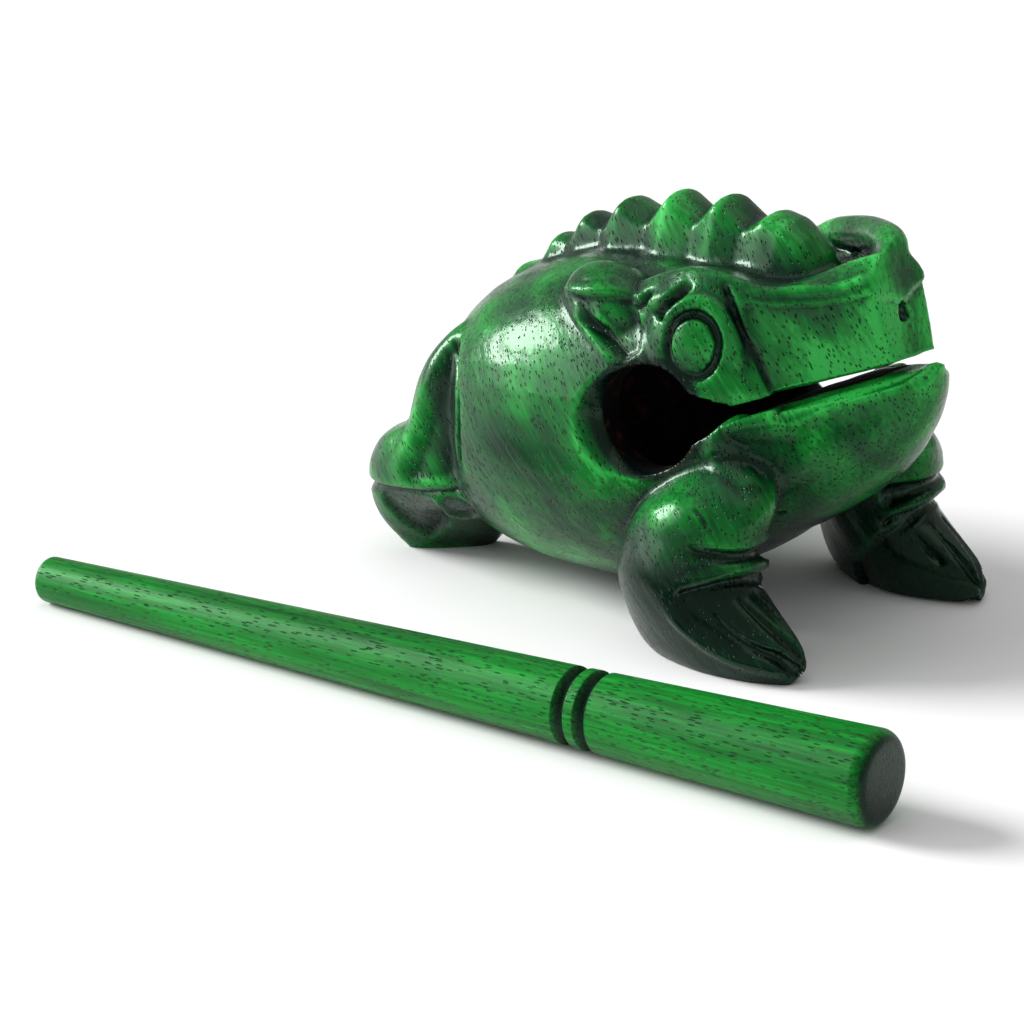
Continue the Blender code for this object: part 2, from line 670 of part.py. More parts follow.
def frog(collection, cutters):
    forms = [trunk(collection), upper_head(collection), forehead_roll(collection)]
    forms += [lower_jaw(collection), crest(collection)]
    forms += both_sides(foreleg, collection)
    forms += both_sides(hindleg, collection)
    forms += both_sides(eye_boss, collection)
    forms += both_sides(brow_leaf, collection)
    body = join_meshes("frog_body", forms, collection)
    remesh(body, CARVING_VOXEL)
    soften(body, 2)
    cuts = [mouth_cutter(cutters), hole_cutter(cutters), chamber_cutter(cutters)]
    cuts.append(nostril_cutter(cutters))
    cuts += both_sides(eye_groove, body, cutters)
    for side_cuts in both_sides(carved_lines, body, cutters):
        cuts += side_cuts
    cut(body, cuts, cutters)
    thin_out(body, CARVING_TRIANGLES)
    cut(body, [floor_cutter(cutters)], cutters)
    body.data.shade_smooth()
    body.data.set_sharp_from_angle(angle=math.radians(40))
    return body


# Building the stick

def round_edge(along, radius, inward):
    """A quarter round at an end of the stick, from its flat face out to its side."""
    points = []
    for step in range(5):
        angle = math.pi / 2 * step / 4
        points.append((along + inward * STICK_END_ROUND * (1 - math.sin(angle)),
                       radius - STICK_END_ROUND * (1 - math.cos(angle))))
    return points[::-1]


def ring_groove(along, radius):
    """A V-shaped ring round the stick, with eased edges."""
    half = STICK_RING_WIDTH / 2
    return [(along - half, radius), (along - half * 0.75, radius - STICK_RING_DEPTH * 0.2),
            (along, radius - STICK_RING_DEPTH),
            (along + half * 0.75, radius - STICK_RING_DEPTH * 0.2), (along + half, radius)]


def stick_profile():
    """The stick's outline from its thin end to its thick end: distance along, radius."""
    tip = STICK_TIP_DIAMETER / 2
    neck = STICK_NECK_DIAMETER / 2
    end = STICK_HANDLE_DIAMETER / 2
    handle_start = STICK_LENGTH - STICK_HANDLE_LENGTH
    points = [(0.0, 0.0)] + round_edge(0.0, tip, 1)
    points += ring_groove(handle_start - STICK_RING_SPACING, neck)
    points += ring_groove(handle_start, neck)
    points += reversed(round_edge(STICK_LENGTH, end, -1))
    points.append((STICK_LENGTH, 0.0))
    return points


def stick(collection):
    """The stick is turned round its own Z axis, thin end down, and then laid on the floor."""
    profile = bmesh.new()
    verts = [profile.verts.new((radius * MM, 0, along * MM)) for along, radius in stick_profile()]
    verts.reverse()
    for first, second in zip(verts, verts[1:]):
        profile.edges.new((first, second))
    turned = finish_mesh("scraper_stick", profile, collection)
    screw = turned.modifiers.new("turning", "SCREW")
    screw.axis = "Z"
    screw.steps = STICK_SIDES
    screw.render_steps = STICK_SIDES
    screw.use_merge_vertices = True
    screw.merge_threshold = MERGE_GAP
    turned.rotation_mode = "QUATERNION"
    growth = (STICK_HANDLE_DIAMETER - STICK_TIP_DIAMETER) / 2
    slope = math.atan(growth / (STICK_LENGTH - 2 * STICK_END_ROUND))
    heading = Vector((math.cos(slope) * math.cos(math.radians(STICK_ANGLE)),
                      math.cos(slope) * math.sin(math.radians(STICK_ANGLE)), math.sin(slope)))
    turned.rotation_quaternion = heading.to_track_quat("Z", "X")
    middle = Vector((STICK_MIDDLE[0], STICK_MIDDLE[1], 0)) * MM
    turned.location = middle - heading * STICK_LENGTH / 2 * MM
    turned.location.z = (STICK_TIP_DIAMETER / 2 * math.cos(slope)
                         - STICK_END_ROUND * math.sin(slope)) * MM
    return turned


def stand_on_origin(parts):
    """Move the parts together, so that the origin is under the middle of their common box."""
    bpy.context.view_layer.update()
    graph = bpy.context.evaluated_depsgraph_get()
    corners = []
    for part in parts:
        mesh = part.evaluated_get(graph).to_mesh()
        corners += [part.matrix_world @ vert.co for vert in mesh.vertices]
    places = np.array([tuple(corner) for corner in corners])
    low = places.min(axis=0)
    high = places.max(axis=0)
    shift = Vector((-(low[0] + high[0]) / 2, -(low[1] + high[1]) / 2, -low[2]))
    for part in parts:
        part.location += shift


def main():
    clear_scene()
    parts = new_collection("frog_guiro")
    cutters = new_collection("cutters")
    body = frog(parts, cutters)
    body.data.materials.clear()
    body.data.materials.append(new_material("green_lacquered_wood", (0.02, 0.16, 0.06), 0.25))
    beater = stick(parts)
    beater.data.materials.append(new_material("green_stained_wood", (0.01, 0.22, 0.07), 0.45))
    stand_on_origin([body, beater])


main()
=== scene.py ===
import math

import bmesh
import bpy
import numpy as np
from mathutils import Matrix, Vector


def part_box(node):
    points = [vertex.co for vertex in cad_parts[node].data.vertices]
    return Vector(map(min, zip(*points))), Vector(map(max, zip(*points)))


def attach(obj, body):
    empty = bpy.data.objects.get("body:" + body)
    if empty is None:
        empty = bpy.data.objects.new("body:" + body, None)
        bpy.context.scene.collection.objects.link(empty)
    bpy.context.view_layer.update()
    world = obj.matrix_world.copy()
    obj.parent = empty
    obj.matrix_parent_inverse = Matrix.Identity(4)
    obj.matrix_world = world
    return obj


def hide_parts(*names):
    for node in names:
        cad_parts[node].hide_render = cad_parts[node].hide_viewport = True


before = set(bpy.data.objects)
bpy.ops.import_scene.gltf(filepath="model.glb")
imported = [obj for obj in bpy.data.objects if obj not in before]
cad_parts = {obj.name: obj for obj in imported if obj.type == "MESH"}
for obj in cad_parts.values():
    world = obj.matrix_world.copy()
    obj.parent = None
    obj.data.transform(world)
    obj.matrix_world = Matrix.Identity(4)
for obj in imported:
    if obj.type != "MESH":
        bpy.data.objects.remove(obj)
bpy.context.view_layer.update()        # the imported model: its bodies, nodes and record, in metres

mm = 0.001

# The frog is worked out in millimetres, with X forward to the snout, Y to its left, Z up, and the
# floor at Z = 0. It is moved to its CAD node's box at the end.

print("stage: helpers")


def smoothRows(rows, count):
    # Catmull-Rom curve through the rows of a table, read at even steps
    table = np.asarray(rows, float)
    padded = np.vstack([2 * table[0] - table[1], table, 2 * table[-1] - table[-2]])
    place = np.linspace(0, len(table) - 1, count)
    start = np.minimum(place.astype(int), len(table) - 2)
    t = (place - start)[:, None]
    a, b, c, d = (padded[start + k] for k in range(4))
    return 0.5 * (2 * b + (c - a) * t + (2 * a - 5 * b + 4 * c - d) * t ** 2
                  + (3 * b - a - 3 * c + d) * t ** 3)


def smoothRing(rows, count):
    # the same curve, closed on itself
    table = np.asarray(rows, float)
    longer = np.vstack([table[-2:], table, table[:3]])
    dense = smoothRows(longer, (len(longer) - 1) * count + 1)
    return dense[2 * count:(2 + len(table)) * count]


def signedPower(value, power):
    # a power that keeps the sign, for superellipses
    return np.sign(value) * np.abs(value) ** power


def easeStep(value):
    # from 0 to 1 with a soft start and end: 3 v squared less 2 v cubed
    value = np.clip(value, 0, 1)
    return value * value * (3 - 2 * value)


def skin(name, grid):
    # a grid of points, closed round its columns, with a fan of faces to the middle of each end row
    rows, columns = grid.shape[:2]
    number = np.arange(rows * columns).reshape(rows, columns)
    ahead = np.roll(number, -1, axis=1)
    quads = np.stack([number[:-1], ahead[:-1], ahead[1:], number[1:]], axis=-1).reshape(-1, 4)
    first = np.full(columns, rows * columns)
    fans = np.vstack([np.stack([ahead[0], number[0], first], axis=-1),
                      np.stack([number[-1], ahead[-1], first + 1], axis=-1)])
    points = np.vstack([grid.reshape(-1, 3), grid[0].mean(axis=0), grid[-1].mean(axis=0)])
    mesh = bpy.data.meshes.new(name)
    mesh.from_pydata(points.tolist(), [], quads.tolist() + fans.tolist())
    shape = bmesh.new()
    shape.from_mesh(mesh)
    bmesh.ops.remove_doubles(shape, verts=shape.verts, dist=0.002)
    bmesh.ops.recalc_face_normals(shape, faces=shape.faces)
    shape.to_mesh(mesh)
    shape.free()
    made = bpy.data.objects.new(name, mesh)
    bpy.context.scene.collection.objects.link(made)
    return made


def applyModifiers(target):
    bpy.context.view_layer.update()
    graph = bpy.context.evaluated_depsgraph_get()
    finished = bpy.data.meshes.new_from_object(target.evaluated_get(graph))
    target.modifiers.clear()
    target.data = finished


def joinMeshes(name, pieces):
    shape = bmesh.new()
    for piece in pieces:
        shape.from_mesh(piece.data)
        bpy.data.objects.remove(piece, do_unlink=True)
    mesh = bpy.data.meshes.new(name)
    shape.to_mesh(mesh)
    shape.free()
    made = bpy.data.objects.new(name, mesh)
    bpy.context.scene.collection.objects.link(made)
    return made


def voxelRemesh(target, size):
    modifier = target.modifiers.new("one skin", "REMESH")
    modifier.mode = "VOXEL"
    modifier.voxel_size = size
    modifier.adaptivity = 0.0
    applyModifiers(target)


def sandSmooth(target, repeats):
    modifier = target.modifiers.new("sanding", "SMOOTH")
    modifier.factor = 0.5
    modifier.iterations = repeats
    applyModifiers(target)


def carveAway(target, cutters):
    # one Boolean for all the cutters, then points and faces numbered by their place
    drawer = bpy.data.collections.new("cutters")
    for cutter in cutters:
        drawer.objects.link(cutter)
    boolean = target.modifiers.new("cuts", "BOOLEAN")
    boolean.operation = "DIFFERENCE"
    boolean.operand_type = "COLLECTION"
    boolean.collection = drawer
    applyModifiers(target)
    for cutter in cutters:
        bpy.data.objects.remove(cutter, do_unlink=True)
    points = readPoints(target.data)
    order = np.lexsort(points.round(5).T)
    rank = np.empty(len(order), int)
    rank[order] = np.arange(len(order))
    faces = []
    for polygon in target.data.polygons:
        corners = [int(rank[i]) for i in polygon.vertices]
        start = corners.index(min(corners))
        faces.append(tuple(corners[start:] + corners[:start]))
    mesh = bpy.data.meshes.new(target.name)
    mesh.from_pydata(points[order].tolist(), [], sorted(faces))
    target.data = mesh


def readPoints(mesh):
    flat = np.empty(len(mesh.vertices) * 3)
    mesh.vertices.foreach_get("co", flat)
    return flat.reshape(-1, 3)


def writePoints(mesh, points):
    mesh.vertices.foreach_set("co", points.ravel())
    mesh.update()


def meshEdges(mesh):
    flat = np.empty(len(mesh.edges) * 2, int)
    mesh.edges.foreach_get("vertices", flat)
    return flat.reshape(-1, 2)


def neighbourMean(values, edges, weight):
    # each point's value, drawn towards the mean of the points that share an edge with it
    total = np.zeros_like(values)
    for k in range(values.shape[1]):
        total[:, k] = (np.bincount(edges[:, 0], values[edges[:, 1], k], len(values))
                       + np.bincount(edges[:, 1], values[edges[:, 0], k], len(values)))
    count = np.bincount(edges.ravel(), minlength=len(values))[:, None]
    return values + weight * (total / np.maximum(count, 1) - values)


def pointNormals(mesh, edges, repeats):
    flat = np.empty(len(mesh.vertices) * 3)
    mesh.vertex_normals.foreach_get("vector", flat)
    normals = flat.reshape(-1, 3)
    for _ in range(repeats):
        normals = neighbourMean(normals, edges, 0.7)
    return normals / np.maximum(np.linalg.norm(normals, axis=1, keepdims=True), 1e-9)


print("stage: the frog's main forms")

frog = {
    "node": "frog_body", "slot": "lacquered_frog_wood",
    "firstVoxel": 0.75, "fineVoxel": 0.5, "triangles": 188000,
    "ringPoints": 48,
    # x, half width, lowest z, widest z, highest z
    "trunk": ((-51, 3, 25, 32, 39), (-49, 13, 15, 32, 46), (-45, 21, 8.5, 32, 50.5),
              (-38, 28, 4, 33, 56), (-28, 33, 1.8, 34, 61), (-15, 35, 1.2, 34.5, 65.5),
              (0, 34.5, 2, 35.5, 67), (10, 32.5, 5, 37, 67.3), (20, 29, 10.5, 40, 67.5),
              (29, 24.5, 17, 43, 66), (36, 19, 23, 46, 61), (42, 9, 32, 48, 55)),
    "trunkSquareness": 2.25,
    # x, lip half width, brow half width, brow z, top half width, top z, trough half width, trough z
    "head": ((6, 27, 25, 62, 20, 66, 9, 66.5), (14, 27, 24, 65, 19, 69.5, 9, 67.5),
             (21, 25.5, 22, 66, 18.6, 70.2, 9, 68), (26, 23.4, 20, 66, 17.8, 69.6, 9.5, 67.6),
             (31, 21, 18.2, 65.8, 16, 68.8, 9, 68), (36, 18.4, 16.0, 66.3, 14.0, 69.0, 8, 70.0),
             (42, 14.4, 12.2, 67.8, 10.2, 70.4, 5, 73.2), (48, 10.2, 8.6, 69.8, 6.6, 72.6, 3.5, 75.4),
             (54, 6.4, 5.8, 72.0, 4.4, 74.4, 2.2, 75.4), (60, 3.2, 2.8, 74, 1.8, 76, 0.8, 77)),
    # roll over the forehead to the far eye: x, y, z, radius
    "roll": ((51.5, -3.2, 70.2, 2.0), (48.5, -1.0, 73.0, 2.6), (46.2, 2.2, 74.4, 3.0),
             (43.0, 5.4, 75.0, 3.2), (38.2, 9.0, 74.4, 3.3), (32.6, 12.4, 73.2, 3.3),
             (26.5, 15.2, 71.6, 3.3), (20.5, 17.4, 69.6, 3.0), (15.0, 19.0, 67.0, 2.0)),
    "snoutLip": (54.4, 56.2), "snoutLean": 18.9,
    # x, half width, chin z
    "jaw": ((8, 28, 8), (16, 28.5, 10), (24, 27, 14), (31, 24, 18), (38, 20.3, 22.6), (45, 16, 28),
            (50.4, 11.6, 33), (54.2, 8.6, 38.5), (57, 5.8, 43.5), (59, 3.2, 48.5), (59.8, 1.0, 51.5)),
    "jawSquareness": 2.3, "jawTopSquareness": 3.4, "jawDrop": 1.2, "jawShoulder": 4.5,
    # z, rear x, front x, outer y, inner y, share of the width lost at the front, slant, lost at the heel
    "foreleg": tuple(row + (0, 0.6) for row in (
        (-1, 18.5, 49.5, 34.5, 19.5, 0.42), (0, 16.8, 51, 35.5, 19, 0.42),
        (2, 14.5, 52.6, 36.5, 18.2, 0.42), (5, 12.6, 53, 37.4, 17.6, 0.42),
        (8, 11.4, 50.8, 38.2, 17.2, 0.40), (11, 10.7, 46.5, 38.8, 16.8, 0.36),
        (14, 10.4, 42, 39, 16.4, 0.28), (16, 10.4, 39.4, 39, 16.2, 0.20), (20, 11, 39, 38.4, 16, 0.15),
        (25, 13, 39.6, 37, 15.6, 0.15), (29, 15.5, 40, 34.8, 15, 0.20), (33, 19, 39, 31, 14, 0.25),
        (37, 22, 36, 25, 12, 0.30))),
    # z, rear x, front x, outer y, inner y, slant of the section across the frog
    "hindleg": tuple(row[:5] + (0, row[5], 0) for row in (
        (-1, -52.5, -41.5, 19, 12.5, 1.0), (0, -52.8, -41.2, 19.5, 12.5, 1.0),
        (3, -55, -38.5, 21.5, 12, 0.75), (8, -58.3, -33.5, 26, 11.8, 0.35),
        (12, -60, -30, 29.4, 12, 0.1), (17, -60, -29, 31.8, 12, 0),
        (22, -57.8, -31, 31.5, 12, 0), (25, -54.6, -32, 31, 12, 0), (27, -51.2, -33, 30.8, 13, 0),
        (29, -48.6, -33.5, 30.6, 13, 0), (33, -47.6, -34, 30.2, 13, 0), (40, -45.6, -33, 29, 13, 0),
        (46, -42.2, -31, 26.2, 13, 0), (50, -38.6, -29, 22, 13, 0))),
    # tops and notches of the saw-toothed crest, from the tail to the brow: x, z, share of the width
    "crest": ((-44.5, 50, 0.62), (-41.4, 54.7, 0.66), (-35.2, 57.0, 0.74), (-31.9, 62.8, 0.78),
              (-27.4, 63.0, 0.83), (-23.9, 68.6, 0.88), (-18.0, 67.6, 0.95), (-14.2, 73.2, 1.0),
              (-6.6, 70.8, 1.0), (-2.0, 76.7, 1.0), (5.4, 73.0, 1.0), (10.0, 78.0, 1.0),
              (16.8, 73.8, 1.0), (21.0, 76.6, 1.0), (25.5, 75.8, 0.98), (29.5, 73.4, 0.90),
              (32.5, 70.2, 0.76), (34.6, 66.5, 0.50), (35.4, 63.0, 0.20)),
    "crestTop": 5.6, "crestFoot": 7.6, "crestDepth": 9.0, "crestArch": 2.8,
    "leafCentre": (-0.5, 19.2, 59.6), "leafHalves": (11.5, 8.4, 7.2), "leafFall": 14.0,
    "mouthBack": (28, 45.7), "mouthFront": (55, 54.4), "mouthGaps": (1.6, 4.2),
    "slitGaps": (0.8, 0.5), "lipBevel": 4.0,
    "rawInset": 5.0, "rawFront": 49.0,      # the slit is unlacquered this far inside the lips, up to this x
    "holeCentre": (14.4, 43.0), "holeRadius": 9.8, "holeFlare": 2.6, "holeFlareDepth": 6.0,
    "chamberCentre": (12, 43), "chamberRadius": 15.0, "chamberHalfWidth": 25.0, "chamberRound": 6.0,
    "eyeCentre": (21.6, -24.3, 57.4), "eyeFacing": (0.34, -0.92, 0.20), "eyeDisc": (4.1, 4.9),
    "eyeGroove": 1.7, "eyeGrooveDepth": 1.1, "eyeDome": 0.7, "eyeBoss": (9.5, 3.2),
    "nostril": {"height": 9, "width": 3.2, "depth": 2.4},
    "reliefStart": 0.5, "reliefFade": 3.5,      # mm from the hollows where carved lines begin, and fade in
}


def lipHeight(x):
    # the head's lip line rises at the snout's lean
    slope = math.tan(math.radians(frog["snoutLean"]))
    return frog["snoutLip"][1] - slope * (frog["snoutLip"][0] - x)


def ringAngles():
    angle = np.linspace(0, math.tau, frog["ringPoints"], endpoint=False)
    return np.cos(angle)[None, :], np.sin(angle)[None, :]


def makeTrunk():
    # superellipses across X, whose half width and lowest, widest and highest levels come from the table
    x, halfWidth, low, wide, high = smoothRows(frog["trunk"], 60).T[:, :, None]
    cos, sin = ringAngles()
    power = 2 / frog["trunkSquareness"]
    rise = signedPower(sin, power)
    z = wide + rise * np.where(rise > 0, high - wide, wide - low)
    return skin("trunk", np.stack([x + 0 * z, halfWidth * signedPower(cos, power), z], axis=-1))


def makeHead():
    # an eight-point half outline across X, mirrored, which the table widens and lifts
    x, lip, brow, browZ, top, topZ, trough, troughZ = smoothRows(frog["head"], 44).T
    lipZ = lipHeight(x)
    zero = 0 * x
    half = [(zero, lipZ - 9), (lip * 0.8, lipZ - 9), (lip, lipZ - 4), (lip, lipZ), (brow, browZ),
            (top, topZ), (trough, troughZ), (zero, troughZ)]
    outline = half + [(-y, z) for y, z in reversed(half[1:-1])]
    grid = np.stack([np.stack([x, y, z], axis=-1) for y, z in outline], axis=1)
    head = skin("head", grid)
    planeSnout(head)
    return head


def planeSnout(target):
    # all that lies beyond the leaning face of the snout is cut off
    lean = Matrix.Rotation(-math.radians(frog["snoutLean"]), 4, "Y")
    place = Matrix.Translation((frog["snoutLip"][0], 0, frog["snoutLip"][1])) @ lean
    reach = 40
    square = ((-reach, -reach), (reach, -reach), (reach, reach), (-reach, reach))
    grid = np.array([[place @ Vector((x, y, z)) for y, z in square] for x in (0, 1.5 * reach)])
    carveAway(target, [skin("snout plane", grid)])


def makeJaw():
    # superellipses, squarer above than below, that hang from just under the lip line
    x, halfWidth, chin = smoothRows(frog["jaw"], 44).T[:, :, None]
    lip = lipHeight(x) - frog["jawDrop"]
    shoulder = lip - frog["jawShoulder"]
    wide = np.where(shoulder < chin + 1, (lip + chin) / 2, shoulder)
    cos, sin = ringAngles()
    power = np.where(sin > 0, 2 / frog["jawTopSquareness"], 2 / frog["jawSquareness"])
    rise = signedPower(sin, power)
    z = wide + rise * np.where(sin > 0, lip - wide, wide - chin)
    return skin("jaw", np.stack([x + 0 * z, halfWidth * signedPower(cos, power), z], axis=-1))


def makeLeg(name, rows, side, power):
    # rounded rings across Z, narrower towards the toes and the heel, and slanted across the frog
    z, rear, front, outer, inner, taper, slant, heel = smoothRows(rows, 60).T[:, :, None]
    cos, sin = ringAngles()
    along = signedPower(cos, power)
    across = signedPower(sin, power)
    slim = 1 - taper * np.maximum(along, 0) ** 1.5
    slim = slim - np.where(across < 0, heel * np.maximum(-along, 0) ** 1.5, 0)
    x = (rear + front) / 2 + along * (front - rear) / 2
    y = (outer + inner) / 2 + across * slim * (outer - inner) / 2 - slant * along * (front - rear) / 2
    return skin(name, np.stack([x, side * y, z + 0 * x], axis=-1))


def makeCrest():
    # a bar with an arched top and saw teeth across it, narrower towards the tail and the brow
    x, z, share = np.array(frog["crest"], float).T
    top = frog["crestTop"] * share
    foot = frog["crestFoot"] * share
    depth = frog["crestDepth"]
    arch = [(top * math.sin(turn), z + frog["crestArch"] * (math.cos(turn) - 0.5))
            for turn in (0, 0.35, 0.7, 1.05, 1.35, math.pi / 2)]
    half = arch + [(foot, z - depth), (foot, z - 2 * depth), (0 * x, z - 2 * depth)]
    outline = half + [(-y, level) for y, level in reversed(half[1:-1])]
    return skin("crest", np.stack([np.stack([x, y, level], axis=-1) for y, level in outline], axis=1))


def makeRoll():
    # a tube along the table's line, planed off with the snout
    rows = smoothRows(frog["roll"], 40)
    centre = rows[:, None, :3]
    heading = np.gradient(rows[:, :3], axis=0)
    heading /= np.linalg.norm(heading, axis=1, keepdims=True)
    sideways = np.cross(heading, (0, 0, 1))
    sideways /= np.linalg.norm(sideways, axis=1, keepdims=True)
    above = np.cross(sideways, heading)
    cos, sin = ringAngles()
    around = cos[..., None] * sideways[:, None] + sin[..., None] * above[:, None]
    roll = skin("forehead roll", centre + rows[:, None, 3:] * around)
    planeSnout(roll)
    return roll


def eyeFrame(side):
    centre = np.array(frog["eyeCentre"]) * (1, -side, 1)
    facing = np.array(frog["eyeFacing"]) * (1, -side, 1)
    return centre, facing / np.linalg.norm(facing)


def makeBall(name, centre, halves, turn):
    # an ellipsoid: rings of latitude round its own Z, turned and moved to its place
    latitude = np.linspace(-math.pi / 2 + 0.02, math.pi / 2 - 0.02, 24)[:, None]
    cos, sin = ringAngles()
    ball = np.stack([np.cos(latitude) * cos, np.cos(latitude) * sin, np.sin(latitude) + 0 * cos], axis=-1)
    return skin(name, (ball * halves) @ np.array(turn).T + centre)


def makeBrowLeaf(side):
    # an ellipsoid that falls towards the eye
    x, y, z = frog["leafCentre"]
    fall = Matrix.Rotation(math.radians(frog["leafFall"]), 3, "Y")
    return makeBall("brow leaf", np.array((x, side * y, z)), frog["leafHalves"], fall)


def makeChamber():
    # a barrel across the frog, whose ends are rounded off
    turn = np.linspace(0, math.pi / 2, 7)
    edge = frog["chamberRound"]
    radius = frog["chamberRadius"] - edge * (1 - np.sin(turn))
    y = frog["chamberHalfWidth"] - edge + edge * np.cos(turn)
    radius = np.concatenate([radius, radius[::-1]])[:, None]
    y = np.concatenate([-y, y[::-1]])[:, None]
    cos, sin = ringAngles()
    x = frog["chamberCentre"][0] + radius * cos
    return skin("sound chamber", np.stack([x, y + 0 * x, frog["chamberCentre"][1] + radius * sin], axis=-1))


def makeEyeBoss(side):
    # a flat ellipsoid, half sunk in the cheek, that faces the way the eye looks
    centre, facing = eyeFrame(side)
    radius, depth = frog["eyeBoss"]
    turn = Vector(facing).to_track_quat("Z", "Y").to_matrix()
    return makeBall("eye boss", centre - facing * depth * 0.7, (radius, radius, depth), turn)


def mouthOutline():
    # the slit's lower and upper edges from the hole to beyond the snout: x, z
    backX, backZ = frog["mouthBack"]
    frontX, frontZ = frog["mouthFront"]
    farX = frontX + 20
    farShare = (farX - backX) / (frontX - backX)
    farZ = backZ + (frontZ - backZ) * farShare
    openBack, openFront = frog["mouthGaps"]
    slitBack, slitFront = frog["slitGaps"]
    farTop = farZ + (openBack + (openFront - openBack) * farShare) / 2
    farSlit = slitBack + (slitFront - slitBack) * farShare
    holeX, holeZ = frog["holeCentre"]
    radius = frog["holeRadius"]
    lower = ((holeX + 1, holeZ - radius * 0.97), (backX + 3, backZ - 0.6), (farX, farTop - farSlit))
    upper = ((holeX + 6, holeZ + radius * 0.62), (backX + 2, backZ + openBack / 2 + 0.9), (farX, farTop))
    return np.array(lower), np.array(upper)


def mouthCutter():
    # the slit's outline carried across, past both cheeks
    lower, upper = mouthOutline()
    outline = np.concatenate([lower, upper[::-1]])
    across = 78.0
    return skin("mouth", np.array([[(x, y, z) for x, z in outline] for y in (-across, across)]))


def lipCutter(side):
    # the jaw's lip is bevelled from the thin slit inside down to the open mouth at the edge
    x = np.linspace(frog["mouthBack"][0] + 2, 64, 40)
    lower, upper = mouthOutline()
    jaw = np.array(frog["jaw"], float)
    edge = np.interp(x, jaw[:, 0], jaw[:, 1])
    backX, backZ = frog["mouthBack"]
    frontX, frontZ = frog["mouthFront"]
    share = (x - backX) / (frontX - backX)
    openBack, openFront = frog["mouthGaps"]
    lipZ = backZ + (frontZ - backZ) * share - (openBack + (openFront - openBack) * share) / 2
    slitZ = np.interp(x, *lower.T)
    topZ = np.interp(x, *upper.T)
    inner = np.maximum(edge - frog["lipBevel"], 0.01)
    fall = (slitZ - lipZ) / np.maximum(edge - inner, 1.0)
    outer = edge + 4
    rings = ((inner, slitZ + 0.05), (outer, slitZ - fall * (outer - inner)), (outer, topZ - 0.05),
             (inner, topZ - 0.05))
    return skin("lip bevel", np.stack([np.stack([x, side * y, z], axis=-1) for y, z in rings], axis=1))


def hollowGap(points):
    # how far the points lie from the chamber, the hole or the slit, in mm, and below 0 inside them; the
    # bevelled lips and the flared rim of the hole count as outside
    x, y, z = points.T
    chamberX, chamberZ = frog["chamberCentre"]
    rounding = frog["chamberRound"]
    aside = np.abs(y) - frog["chamberHalfWidth"] + rounding
    around = np.hypot(x - chamberX, z - chamberZ) - frog["chamberRadius"] + rounding
    chamber = (np.minimum(np.maximum(aside, around), 0) - rounding
               + np.hypot(np.maximum(aside, 0), np.maximum(around, 0)))
    hole = np.hypot(x - frog["holeCentre"][0], z - frog["holeCentre"][1]) - frog["holeRadius"]
    lower, upper = mouthOutline()
    lips = np.array(frog["head"], float)
    slit = np.max([frog["holeCentre"][0] - x, np.interp(x, *lower.T) - z, z - np.interp(x, *upper.T),
                   np.abs(y) - np.interp(x, lips[:, 0], lips[:, 1]) + frog["rawInset"],
                   x - frog["rawFront"]], axis=0)
    return np.minimum(np.minimum(chamber, hole), slit)


def holeCutter():
    # a round bar from cheek to cheek that flares where it comes out
    cheek = max(row[1] for row in frog["trunk"] if row[0] >= 10)
    depth = frog["holeFlareDepth"]
    share = np.linspace(0, 2, 25)
    half = np.stack([cheek - depth + share * depth, np.where(share < 1, share ** 2.2, 1 + 1.4 * (share - 1))])
    y = np.concatenate([-half[0][::-1], half[0]])[:, None]
    radius = frog["holeRadius"] + frog["holeFlare"] * np.concatenate([half[1][::-1], half[1]])[:, None]
    cos, sin = ringAngles()
    x = frog["holeCentre"][0] + radius * cos
    z = frog["holeCentre"][1] + radius * sin
    return skin("side hole", np.stack([x, y + 0 * x, z], axis=-1))


def nostrilCutter():
    # a three-sided cut square to the snout's face, wider towards its mouth
    lean = math.radians(frog["snoutLean"])
    up = np.array((-math.sin(lean), 0, math.cos(lean)))
    out = np.array((math.cos(lean), 0, math.sin(lean)))
    middle = np.array((frog["snoutLip"][0], 0, frog["snoutLip"][1])) + up * frog["nostril"]["height"]
    corners = ((-0.5, -0.5), (0.5, -0.5), (0.0, 0.8))
    rings = []
    for reach, share in ((-1, 0.1), (1, 1.9)):
        size = frog["nostril"]["width"] * share
        rings.append([middle + out * reach * frog["nostril"]["depth"] + up * rise * size
                      + np.array((0, across * size, 0)) for across, rise in corners])
    return skin("nostril", np.array(rings))


forms = [makeTrunk(), makeHead(), makeRoll(), makeJaw(), makeCrest()]
for side in (-1, 1):
    forms.append(makeLeg("foreleg", frog["foreleg"], side, 0.9))
    forms.append(makeLeg("hindleg", frog["hindleg"], side, 0.8))
    forms.append(makeEyeBoss(side))
    forms.append(makeBrowLeaf(side))
frogPiece = joinMeshes("carved_frog", forms)
voxelRemesh(frogPiece, frog["firstVoxel"])
sandSmooth(frogPiece, 1)
carveAway(frogPiece, [mouthCutter(), holeCutter(), makeChamber(), nostrilCutter()])
carveAway(frogPiece, [lipCutter(-1), lipCutter(1)])
voxelRemesh(frogPiece, frog["fineVoxel"])
sandSmooth(frogPiece, 1)

print("stage: the frog's carved lines and pads")

